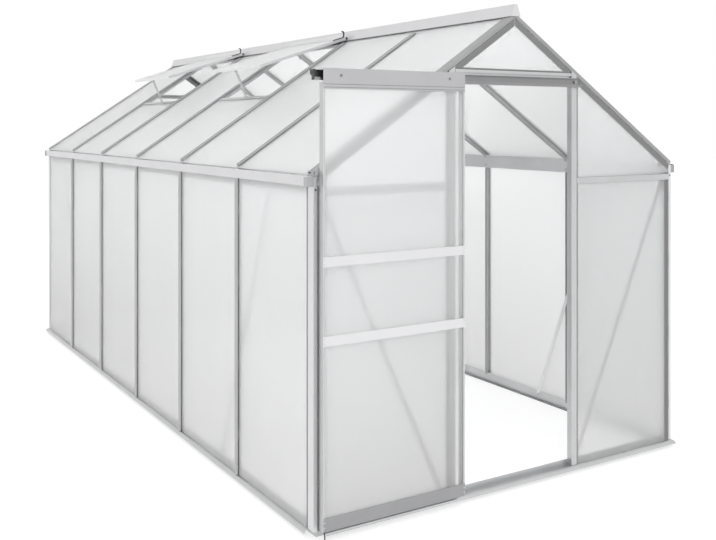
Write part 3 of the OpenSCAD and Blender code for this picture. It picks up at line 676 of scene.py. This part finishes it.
def marks(name, rows):
    """A mesh of loose points; each row is a place, the way the piece faces and the way it lies."""
    mesh = bpy.data.meshes.new(name)
    mesh.from_pydata([row[0] for row in rows], [], [])
    for k, label in ((1, "facing"), (2, "lying")):
        layer = mesh.attributes.new(label, "FLOAT_VECTOR", "POINT")
        for spot, row in zip(layer.data, rows):
            spot.vector = row[k]
    return mesh


def lines(name, rows):
    """A mesh of edges; each row is a start, an end and the way that pieces on it face."""
    mesh = bpy.data.meshes.new(name)
    points = [p for row in rows for p in row[:2]]
    mesh.from_pydata(points, [(2 * k, 2 * k + 1) for k in range(len(rows))], [])
    layer = mesh.attributes.new("facing", "FLOAT_VECTOR", "POINT")
    for k, spot in enumerate(layer.data):
        spot.vector = rows[k // 2][2]
    return mesh


def on_slope(side, up, y, out):
    """A point on the left (-1) or right (1) slope: up it, along the house, and out from its sheets."""
    x = wall_x - up * math.cos(PITCH) + out * math.sin(PITCH)
    return Vector((side * x, y, slope_z + up * math.sin(PITCH) + out * math.cos(PITCH)))


def slope_out(side):
    """The way a roof slope faces."""
    return Vector((side * math.sin(PITCH), 0, math.cos(PITCH)))


# %% [markdown]
# ### Wire clips
# Each sheet is pressed into its bars by clips of springy wire, bent into a W that snaps under the
# bar's cap. The tree makes one W from a straight line: it is cut into four, every other point moves
# aside, the bends are rounded and a thin tube follows it. A curve through hand-set points could do
# it too, but then its length, width and wire could not be changed by name.

# %% Tree: wire clips along bars
clips, given, result = geometry_tree("wire_clips", [
    ("Spacing", "Float", 0.3), ("Clip length", "Float", 0.045), ("Clip width", "Float", 0.011),
    ("Wire", "Float", 0.0019), ("Wander", "Float", 0.02), ("Seed", "Int", 4),
    ("Finish", "Material", None),
])
bars = node(clips, "GeometryNodeMeshToCurve")
spots = node(clips, "GeometryNodeCurveToPoints", mode="LENGTH")
shift = node(clips, "FunctionNodeRandomValue", data_type="FLOAT")
low_shift = math_node(clips, "MULTIPLY", given.outputs["Wander"], -1.0)
slide = node(clips, "ShaderNodeVectorMath", operation="SCALE")
moved = node(clips, "GeometryNodeSetPosition")
facing = node(clips, "GeometryNodeInputNamedAttribute", data_type="FLOAT_VECTOR", Name="facing")
turn = node(clips, "FunctionNodeAxesToRotation", primary_axis="Z", secondary_axis="X")
join(clips,
     given.outputs["Geometry"], bars.inputs["Mesh"],
     bars.outputs[0], spots.inputs["Curve"],
     given.outputs["Spacing"], spots.inputs["Length"],
     low_shift, shift.inputs[2],
     given.outputs["Wander"], shift.inputs[3],
     given.outputs["Seed"], shift.inputs["Seed"],
     spots.outputs["Tangent"], slide.inputs[0],
     shift.outputs[1], slide.inputs["Scale"],
     spots.outputs["Points"], moved.inputs["Geometry"],
     slide.outputs[0], moved.inputs["Offset"],
     facing.outputs[0], turn.inputs["Primary Axis"],
     spots.outputs["Tangent"], turn.inputs["Secondary Axis"])

straight = node(clips, "GeometryNodeCurvePrimitiveLine")
straight.inputs["Start"].default_value = (-0.5, 0, 0)
straight.inputs["End"].default_value = (0.5, 0, 0)
in_four = node(clips, "GeometryNodeResampleCurve", Count=5)
count = node(clips, "GeometryNodeInputIndex")
other = math_node(clips, "SUBTRACT", math_node(clips, "MODULO", count.outputs[0], 2.0), 0.5)
here = node(clips, "GeometryNodeInputPosition")
apart = node(clips, "ShaderNodeSeparateXYZ")
bent_to = node(clips, "ShaderNodeCombineXYZ")
bent = node(clips, "GeometryNodeSetPosition")
soft = node(clips, "GeometryNodeFilletCurve")
bend_radius = math_node(clips, "MULTIPLY", given.outputs["Wire"], 1.3)
ring = node(clips, "GeometryNodeCurvePrimitiveCircle", Resolution=5)
tube = node(clips, "GeometryNodeCurveToMesh")
tube.inputs["Fill Caps"].default_value = True
smooth = node(clips, "GeometryNodeSetShadeSmooth")
join(clips,
     straight.outputs[0], in_four.inputs["Curve"],
     here.outputs[0], apart.inputs[0],
     math_node(clips, "MULTIPLY", apart.outputs["X"], given.outputs["Clip length"]), bent_to.inputs["X"],
     math_node(clips, "MULTIPLY", other, given.outputs["Clip width"]), bent_to.inputs["Y"],
     in_four.outputs[0], bent.inputs["Geometry"],
     bent_to.outputs[0], bent.inputs["Position"],
     bent.outputs[0], soft.inputs["Curve"],
     bend_radius, soft.inputs["Radius"],
     math_node(clips, "MULTIPLY", given.outputs["Wire"], 0.5), ring.inputs["Radius"],
     soft.outputs[0], tube.inputs["Curve"],
     ring.outputs[0], tube.inputs["Profile Curve"],
     tube.outputs[0], smooth.inputs["Geometry"])

placed = node(clips, "GeometryNodeInstanceOnPoints")
real = node(clips, "GeometryNodeRealizeInstances")
coated = node(clips, "GeometryNodeSetMaterial")
join(clips,
     moved.outputs[0], placed.inputs["Points"],
     smooth.outputs[0], placed.inputs["Instance"],
     turn.outputs[0], placed.inputs["Rotation"],
     placed.outputs[0], real.inputs[0],
     real.outputs[0], coated.inputs["Geometry"],
     given.outputs["Finish"], coated.inputs["Material"],
     coated.outputs[0], result.inputs["Geometry"])
print("wire clip tree has", len(clips.nodes), "nodes")

# %% [markdown]
# The clips lie on the outer face of the sheets, half under the caps of the bars. So every bar gives
# two lines, one on either side of its neck, and the corner angles and door posts give one. The bars
# of the walls and the roof also carry a wider cover strip, so their clips stand further out.

# %% Set out the wire clips
CLIP_OUT = SHEET + 0.0011
CLIP_ASIDE = 0.0075
COVER_HALF = 0.012
COVER_CLIP_ASIDE = COVER_HALF + 0.0015
CLIP_SPACING = 0.29
VENT_BAYS = (3, 5)
UNDER_VENT = 0.50
SLOPE_ENDS = (0.10, slope_length - 0.12)
DOOR_POST_LIP = 0.3495
BACK_STUD = 0.33
LIP_IN = 0.012
low_z, high_z = SHELF + 0.16, eave_z - 0.12
gable_runs = ((low_z, 1.15), (1.32, 1.60))
stud_y = [front_y + k * bay for k in range(1, BAYS)]
clip_rows = []
for side in (-1, 1):
    x = side * (wall_x + CLIP_OUT)
    for bay_before, y in enumerate(stud_y, 1):
        for way in (-1, 1):
            clip_y = y + way * COVER_CLIP_ASIDE
            clip_rows.append(((x, clip_y, low_z), (x, clip_y, high_z), (side, 0, 0)))
            beside = bay_before + (way > 0)
            top = UNDER_VENT if side < 0 and beside in VENT_BAYS else SLOPE_ENDS[1]
            start, end = [on_slope(side, up, clip_y, CLIP_OUT) for up in (SLOPE_ENDS[0], top)]
            clip_rows.append((start, end, slope_out(side)))
for gable_y, way in ((front_y, -1), (back_y, 1)):
    y = gable_y + way * CLIP_OUT
    for side in (-1, 1):
        x = side * (wall_x - LIP_IN)
        clip_rows.append(((x, y, low_z), (x, y, gable_runs[0][1]), (0, way, 0)))
        start, end = [on_slope(side, up, y, -0.010) for up in (0.20, 1.0)]
        clip_rows.append((start, end, (0, way, 0)))
y = front_y - CLIP_OUT
for x in (-DOOR_POST_LIP, DOOR_POST_LIP):
    for z0, z1 in gable_runs:
        clip_rows.append(((x, y, z0), (x, y, z1), (0, -1, 0)))
y = back_y + CLIP_OUT
for stud in (-BACK_STUD, BACK_STUD):
    for x in (stud - CLIP_ASIDE, stud + CLIP_ASIDE):
        for z0, z1 in gable_runs:
            clip_rows.append(((x, y, z0), (x, y, z1), (0, 1, 0)))
build(clips, "glazing_clips", lines("glazing_lines", clip_rows),
      {"Spacing": CLIP_SPACING, "Finish": hardware}, "greenhouse")

# %% [markdown]
# ### Nuts, bolts and screws
# A turned profile gives washers, bolt ends and screw heads, and the same profile in six steps gives
# a nut with a chamfer. They are master pieces that never show themselves: a second tree copies one of
# them to each marked point, turned by a random angle about its own axis.

# %% Masters: nut, dome bolt and screw


def turned(mesh, profile, steps):
    """Adds a closed turned shape about Z; the profile is (radius, height) pairs in millimetres."""
    rings = []
    for radius, height in profile:
        if radius == 0:
            rings.append([mesh.verts.new((0, 0, height / 1000))])
            continue
        angles = [2 * math.pi * k / steps for k in range(steps)]
        points = [(radius * math.cos(a), radius * math.sin(a), height) for a in angles]
        rings.append([mesh.verts.new([value / 1000 for value in point]) for point in points])
    for first, second in zip(rings, rings[1:]):
        for k in range(steps):
            corners = [first[k % len(first)], first[(k + 1) % len(first)],
                       second[(k + 1) % len(second)], second[k % len(second)]]
            unique = [v for n, v in enumerate(corners) if v not in corners[:n]]
            if len(unique) > 2:
                mesh.faces.new(unique)


def master(name, shapes):
    """An unlinked object made of turned shapes."""
    mesh = bmesh.new()
    for profile, steps in shapes:
        turned(mesh, profile, steps)
    bmesh.ops.recalc_face_normals(mesh, faces=mesh.faces)
    data = bpy.data.meshes.new(name)
    mesh.to_mesh(data)
    mesh.free()
    print(name, len(data.polygons), "faces")
    return bpy.data.objects.new(name, data)


nut = master("nut", [
    ([(0, 0), (6.2, 0), (6.5, 0.3), (6.5, 0.9), (6.2, 1.2), (0, 1.2)], 14),
    ([(0, 1.2), (5.2, 1.2), (5.77, 1.6), (5.77, 5.4), (5.0, 6.2), (0, 6.2)], 6),
    ([(0, 6.2), (3, 6.2), (3, 8.0), (2.5, 8.6), (0, 8.6)], 10),
])
dome_bolt = master("dome_bolt", [
    ([(0, 0), (6.0, 0), (6.0, 0.7), (5.8, 0.9), (0, 0.9)], 16),
    ([(0, 0.9), (4.6, 0.9), (4.4, 1.6), (3.6, 2.1), (2.2, 2.4), (1.7, 2.4), (1.6, 1.4), (0, 1.4)], 14),
])
screw = master("screw", [
    ([(0, 0), (3.0, 0), (3.0, 0.5), (2.6, 1.1), (1.8, 1.5), (1.2, 1.6), (1.1, 0.9), (0, 0.9)], 12),
])

# %% Tree: masters set out on points
setting, given, result = geometry_tree("set_out", [
    ("Piece", "Object", None), ("Size", "Float", 1.0), ("Seed", "Int", 7), ("Finish", "Material", None),
])
piece_in = node(setting, "GeometryNodeObjectInfo")
facing = node(setting, "GeometryNodeInputNamedAttribute", data_type="FLOAT_VECTOR", Name="facing")
lying = node(setting, "GeometryNodeInputNamedAttribute", data_type="FLOAT_VECTOR", Name="lying")
turn = node(setting, "FunctionNodeAxesToRotation", primary_axis="Z", secondary_axis="X")
placed = node(setting, "GeometryNodeInstanceOnPoints")
spin = node(setting, "FunctionNodeRandomValue", data_type="FLOAT")
spin.inputs[3].default_value = 2 * math.pi
about = node(setting, "ShaderNodeCombineXYZ")
spun = node(setting, "GeometryNodeRotateInstances")
real = node(setting, "GeometryNodeRealizeInstances")
coated = node(setting, "GeometryNodeSetMaterial")
join(setting,
     given.outputs["Piece"], piece_in.inputs["Object"],
     given.outputs["Geometry"], placed.inputs["Points"],
     piece_in.outputs["Geometry"], placed.inputs["Instance"],
     facing.outputs[0], turn.inputs["Primary Axis"],
     lying.outputs[0], turn.inputs["Secondary Axis"],
     turn.outputs[0], placed.inputs["Rotation"],
     given.outputs["Size"], placed.inputs["Scale"],
     given.outputs["Seed"], spin.inputs["Seed"],
     spin.outputs[1], about.inputs["Z"],
     placed.outputs[0], spun.inputs["Instances"],
     about.outputs[0], spun.inputs["Rotation"],
     spun.outputs[0], real.inputs[0],
     real.outputs[0], coated.inputs["Geometry"],
     given.outputs["Finish"], coated.inputs["Material"],
     coated.outputs[0], result.inputs["Geometry"])

# %% Nuts inside the frame
X, Y, Z = Vector((1, 0, 0)), Vector((0, 1, 0)), Vector((0, 0, 1))
FRAME_IN = CHANNEL + WALL
BRACE = 0.002
SILL_NUT_Z = 0.041
EAVE_NUT_DROP = 0.014
# Each pair is how far a nut is from the gable or from the middle, and how high it is.
SIDE_BRACE_ENDS = ((0.838, 0.028), (0.368, eave_z - 0.016))
GABLE_BRACE_ENDS = ((0.352, 0.030), (0.900, 1.205))
CORNER_JOINTS = ((0.892, 1.237), (0.892, 1.277))
RAIL_JOINTS = ((0.362, 1.237), (0.285, 1.686))
nut_rows = []
for side in (-1, 1):
    inner = side * (wall_x - FRAME_IN)
    for y in stud_y:
        nut_rows.append(((inner, y, SILL_NUT_Z), -side * X, Z))
        nut_rows.append(((inner, y, eave_z - EAVE_NUT_DROP), -side * X, Z))
        nut_rows.append((on_slope(side, 0.018, y, -FRAME_IN), -slope_out(side), Y))
        nut_rows.append((on_slope(side, slope_length - 0.07, y, -CHANNEL), -slope_out(side), Y))
    for y, way in ((front_y, 1), (back_y, -1)):
        for far, z in SIDE_BRACE_ENDS:
            nut_rows.append(((side * (wall_x - FRAME_IN - BRACE), y + way * far, z), -side * X, Z))
        for far, z in GABLE_BRACE_ENDS:
            nut_rows.append(((side * far, y + way * (FRAME_IN + BRACE), z), way * Y, Z))
        for far, z in CORNER_JOINTS:
            nut_rows.append(((side * far, y + way * FRAME_IN, z), way * Y, Z))
        for far, z in RAIL_JOINTS:
            nut_rows.append(((side * far, y + way * CHANNEL, z), way * Y, Z))
        nut_rows.append(((side * (wall_x - 0.024), y + way * FRAME_IN, SILL_NUT_Z), way * Y, Z))
for side in (-1, 1):
    nut_rows.append(((side * 0.319, front_y + FRAME_IN, SILL_NUT_Z), Y, Z))
    nut_rows.append(((side * BACK_STUD, back_y - FRAME_IN, SILL_NUT_Z), -Y, Z))
    nut_rows.append(((side * 0.327, front_y - CAP_RISE - WALL, 1.655), -Y, Z))
build(setting, "frame_nuts", marks("nut_marks", nut_rows),
      {"Piece": nut, "Finish": hardware}, "greenhouse")

# %% Bolts of the rollers and screws of the door
BOLT_IN = 0.0095
SCREW_IN = 0.0045
SCREW_UP = 0.009
HEADER_SCREW_UP = 0.012
roller_low, roller_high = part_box("door_rollers")
roller_z = (roller_low[2] + roller_high[2]) / 2
door_low, door_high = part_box("door_header")
bolt_rows = []
for x in (roller_low[0] + BOLT_IN, roller_high[0] - BOLT_IN):
    bolt_rows.append(((x, door_low[1], roller_z), -Y, Z))
build(setting, "roller_bolts", marks("bolt_marks", bolt_rows),
      {"Piece": dome_bolt, "Finish": zinc}, "door")
screw_rows = []
for name in ("door_upper_rail", "door_lower_rail", "door_kick_plate"):
    rail_low, rail_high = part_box(name)
    level = (rail_low[2] + rail_high[2]) / 2
    for x in (rail_low[0] + SCREW_IN, rail_high[0] - SCREW_IN):
        for up in (-SCREW_UP, SCREW_UP):
            screw_rows.append(((x, rail_low[1], level + up), -Y, Z))
for x in (door_low[0] + SCREW_IN, door_high[0] - SCREW_IN):
    screw_rows.append(((x, door_low[1], door_low[2] + HEADER_SCREW_UP), -Y, Z))
build(setting, "door_screws", marks("screw_marks", screw_rows),
      {"Piece": screw, "Finish": hardware}, "door")

# %% Pins of the vents' stays and the bolt under the track's end
VENT_DEGREES = 15.6
OPEN = math.radians(PITCH_DEGREES - VENT_DEGREES)
HINGE_X = -0.018
HINGE_RISE = 0.017
STAY_REACH = 0.525
STAY_DROP = 0.015
STAY_FOOT = 0.573 + WALL + 0.010
STAY_FACE = 0.0045
BRACKET_FACE = 0.0015
pin_rows = []
for bay_number in VENT_BAYS:
    y = front_y + (bay_number - 0.5) * bay
    foot = on_slope(-1, STAY_FOOT, y, 0)
    head = Vector((HINGE_X, y, apex_z + HINGE_RISE))
    head -= STAY_REACH * Vector((math.cos(OPEN), 0, math.sin(OPEN)))
    head += STAY_DROP * Vector((math.sin(OPEN), 0, -math.cos(OPEN)))
    for end in (foot, head):
        pin_rows.append((end + STAY_FACE * Y, Y, Z))
        pin_rows.append((end - BRACKET_FACE * Y, -Y, Z))
pin_rows.append(((0.334, front_y - CAP_RISE, 1.622), -Y, Z))
build(setting, "stay_pins", marks("pin_marks", pin_rows),
      {"Piece": dome_bolt, "Size": 0.9, "Finish": hardware}, "greenhouse")
for piece in (nut, dome_bolt, screw):
    bpy.data.objects.remove(piece)

# %% [markdown]
# ### Trims
# The last pieces are long or bent bands that lie close to the bars. Each is a ring of points that is
# repeated along a path and joined into a skin, and a Bevel modifier rounds most of their corners.
# Curves with a bevel object would give the same shapes, but known points are easier to keep clear
# of the bars.

# %% Helpers for trims


def stitch(mesh, rings):
    """Joins rings of equally many points into a skin, and closes both its ends."""
    for first, second in zip(rings, rings[1:]):
        for k in range(len(first)):
            after = (k + 1) % len(first)
            mesh.faces.new((first[k], first[after], second[after], second[k]))
    mesh.faces.new(rings[0][::-1])
    mesh.faces.new(rings[-1])


def strip(mesh, path, thickness, low, high, place):
    """Adds a closed strip along a path of (a, b) points, from low to high on the third axis."""
    rings = []
    for k, (a, b) in enumerate(path):
        before, after = path[max(k - 1, 0)], path[min(k + 1, len(path) - 1)]
        along = Vector((after[0] - before[0], after[1] - before[1])).normalized()
        aside = Vector((-along.y, along.x)) * thickness / 2
        corners = [(a + aside.x, b + aside.y, low), (a - aside.x, b - aside.y, low),
                   (a - aside.x, b - aside.y, high), (a + aside.x, b + aside.y, high)]
        rings.append([mesh.verts.new(place(*corner)) for corner in corners])
    stitch(mesh, rings)


def arc(a, b, radius, start, end, steps):
    """Points on an arc about (a, b), with angles in degrees."""
    turns = [math.radians(start + (end - start) * k / steps) for k in range(steps + 1)]
    return [(a + radius * math.cos(t), b + radius * math.sin(t)) for t in turns]


def finish_piece(name, mesh, finish, body="greenhouse", bevel=0.0006):
    """Turns a bmesh into a piece with rounded corners that rides on a body."""
    bmesh.ops.recalc_face_normals(mesh, faces=mesh.faces)
    data = bpy.data.meshes.new(name)
    mesh.to_mesh(data)
    mesh.free()
    data.materials.append(finish)
    made = bpy.data.objects.new(name, data)
    scene.collection.objects.link(made)
    if bevel:
        soft_edge = made.modifiers.new("soft_edge", "BEVEL")
        soft_edge.width = bevel
        soft_edge.segments = 2
        soft_edge.limit_method = "ANGLE"
    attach(made, body)
    print(name, len(data.polygons), "faces before its bevel")
    return made


def in_xz(a, b, c):
    """A point from a path across the house, at c along it."""
    return Vector((a, c, b))


def in_yz(a, b, c):
    """A point from a path along the house, at c across it."""
    return Vector((c, a, b))


# %% [markdown]
# ### Cover strips
# A strip snaps over the cap of every bar in the side walls and the roof. It is an extrusion with a
# crowned back and a short lip on either side, and the wire clips fit under the lips. The strips
# differ only in where they start and end, so one section is swept for all of them.

# %% Cover strips on the bars
COVER_FOOT = 0.0066
COVER_TOP = 0.0145
COVER_LIP = 0.0014
COVER_BEVEL = 0.0004
UNDER_RIDGE = 0.0475
lip_in = COVER_HALF - COVER_LIP
section = [(COVER_HALF, COVER_FOOT), (COVER_HALF, CAP_RISE), (COVER_HALF - 0.0009, CAP_RISE + 0.0028)]
section += [(COVER_HALF - 0.0036, COVER_TOP - 0.0014), (COVER_HALF - 0.0070, COVER_TOP)]
section += [(-aside, out) for aside, out in section[::-1]]
section += [(-lip_in, COVER_FOOT), (-lip_in, CAP_RISE), (lip_in, CAP_RISE), (lip_in, COVER_FOOT)]


def sweep(mesh, place, start, end):
    """Adds a closed strip; place gives the point of the section's (aside, out) at a spot along it."""
    rings = []
    for spot in (start, end):
        rings.append([mesh.verts.new(place(aside, out, spot)) for aside, out in section])
    stitch(mesh, rings)


wall_strips, roof_strips = bmesh.new(), bmesh.new()
ridge_foot = slope_length - UNDER_RIDGE
for side in (-1, 1):
    for y in stud_y:
        sweep(wall_strips, lambda aside, out, z: Vector((side * (wall_x + out), y + aside, z)),
              SHELF + HAIR, eave_z - HAIR)
        sweep(roof_strips, lambda aside, out, up: on_slope(side, up, y + aside, out),
              0.004, ridge_foot)
for name, strips in (("wall_bar_covers", wall_strips), ("roof_bar_covers", roof_strips)):
    finish_piece(name, strips, metal[name.replace("_bar", "")], bevel=COVER_BEVEL)
print("covers end", round(ridge_foot, 4), "m up the slope and under the gutters at z", round(eave_z, 4))

# %% [markdown]
# ### Plastic ends
# Black mouldings close the track and the vents' hinges; the hinge ends run on down the vent frames as
# painted shade, and a black trim at the end of the front sill's lip is painted shade for the hollow
# under the lip. Most are a thin strip along a short path, given a depth.

# %% Hooked ends of the vents' hinges, whose long foot down the vent frame is painted shade
HOOK_HALF = 0.0045
HOOK_THICK = 0.005
hooks_and_shade_lines = bmesh.new()
for name in ("front_vent_frame", "rear_vent_frame"):
    leaf_low, leaf_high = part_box(name)
    level = leaf_high[2]
    path = [(-0.100, level - 0.0385), (-0.075, level - 0.0305), (-0.054, level - 0.0235)]
    path += arc(-0.0515, level - 0.0095, 0.0135, -75, 0, 4)
    path += arc(-0.0475, level + 0.0020, 0.0090, 5, 115, 4)
    strip(hooks_and_shade_lines, path, HOOK_THICK, leaf_low[1] - HOOK_HALF, leaf_low[1] + HOOK_HALF, in_xz)
finish_piece("hinge_hooks", hooks_and_shade_lines, black)

# %% End caps of the door track
track_low, track_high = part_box("track_end_caps")
left_x, right_x = track_low[0], track_high[0]
near_y, far_y = track_low[1], track_high[1]
top = track_high[2] - 0.0095
ends = bmesh.new()
strip(ends, [(near_y, top), (far_y, top)], 0.019, left_x, left_x + 0.006, in_yz)
rib_z = top - 0.0125
rib = [(near_y + 0.004, rib_z), (far_y - 0.004, rib_z)]
strip(ends, rib, 0.003, left_x + 0.001, left_x + 0.009, in_yz)
stop_z = track_low[2] + 0.0075
stop = [(near_y + 0.008, stop_z), (far_y - 0.006, stop_z)]
strip(ends, stop, 0.007, right_x - 0.009, right_x - 0.003, in_yz)
track_ends = finish_piece("track_ends", ends, black, bevel=0.0012)
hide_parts("track_end_caps")

# %% Black end trim of the front sill's lip, painted shade for the hollow under the lip
lip_shade_trim = bmesh.new()
lip_end = -(wall_x - 0.035)
path = [(front_y + 0.002, 0.0305)]
path += arc(front_y - 0.002, 0.012, 0.0185, 90, 180, 7)
path += [(front_y - 0.0205, 0.0015)]
strip(lip_shade_trim, path, 0.003, lip_end - 0.0045, lip_end - HAIR, in_yz)
finish_piece("sill_lip_trim", lip_shade_trim, black)

# %% [markdown]
# The gable rafters end in a rounded cap that hides the sawn edge. It is a flattened dome, made by
# sweeping a rounded profile round an oval, and it is smooth enough to need no bevel.

# %% Caps on the feet of the gable rafters
CAP_HALF_WIDTH = 0.0095
CAP_HALF_HEIGHT = 0.016
CAP_DEPTH = 0.0115
CAP_LEAN = math.radians(20)
CAP_STEPS = 20


def oval_cap(mesh, place, way, lean):
    """Adds a rounded oval cap that faces along Y; its rings shrink towards the front."""
    rings = []
    for share, out in ((1.0, 0.0), (1.0, 0.55), (0.94, 0.8), (0.78, 0.95), (0.45, 1.0)):
        ring = []
        for k in range(CAP_STEPS):
            t = 2 * math.pi * k / CAP_STEPS
            a = CAP_HALF_WIDTH * share * math.cos(t)
            b = CAP_HALF_HEIGHT * share * math.sin(t)
            a, b = a * math.cos(lean) - b * math.sin(lean), a * math.sin(lean) + b * math.cos(lean)
            ring.append(mesh.verts.new((place[0] + a, place[1] + way * CAP_DEPTH * out, place[2] + b)))
        rings.append(ring)
    stitch(mesh, rings)


caps = bmesh.new()
for side in (-1, 1):
    for y, way in ((front_y, -1), (back_y, 1)):
        spot = on_slope(side, 0.012, y, -0.002)
        oval_cap(caps, (spot.x, y - way * 0.006, spot.z), way, side * CAP_LEAN)
foot_caps = finish_piece("rafter_foot_caps", caps, grey, bevel=0)
for face in foot_caps.data.polygons:
    face.use_smooth = len(face.vertices) == 4

# %% Plugs in the corner posts' lips
plug_rows = []
for side in (-1, 1):
    for y, way in ((front_y, -1), (back_y, 1)):
        spot = (side * (wall_x - 0.004), y + way * 0.0036, eave_z - EAVE_NUT_DROP)
        plug_rows.append((spot, way * Y, Z))
plug = master("plug", [([(0, 0), (3.6, 0), (3.6, 0.8), (2.9, 1.5), (0, 1.7)], 14)])
build(setting, "lip_plugs", marks("plug_marks", plug_rows),
      {"Piece": plug, "Finish": black}, "greenhouse")
bpy.data.objects.remove(plug)
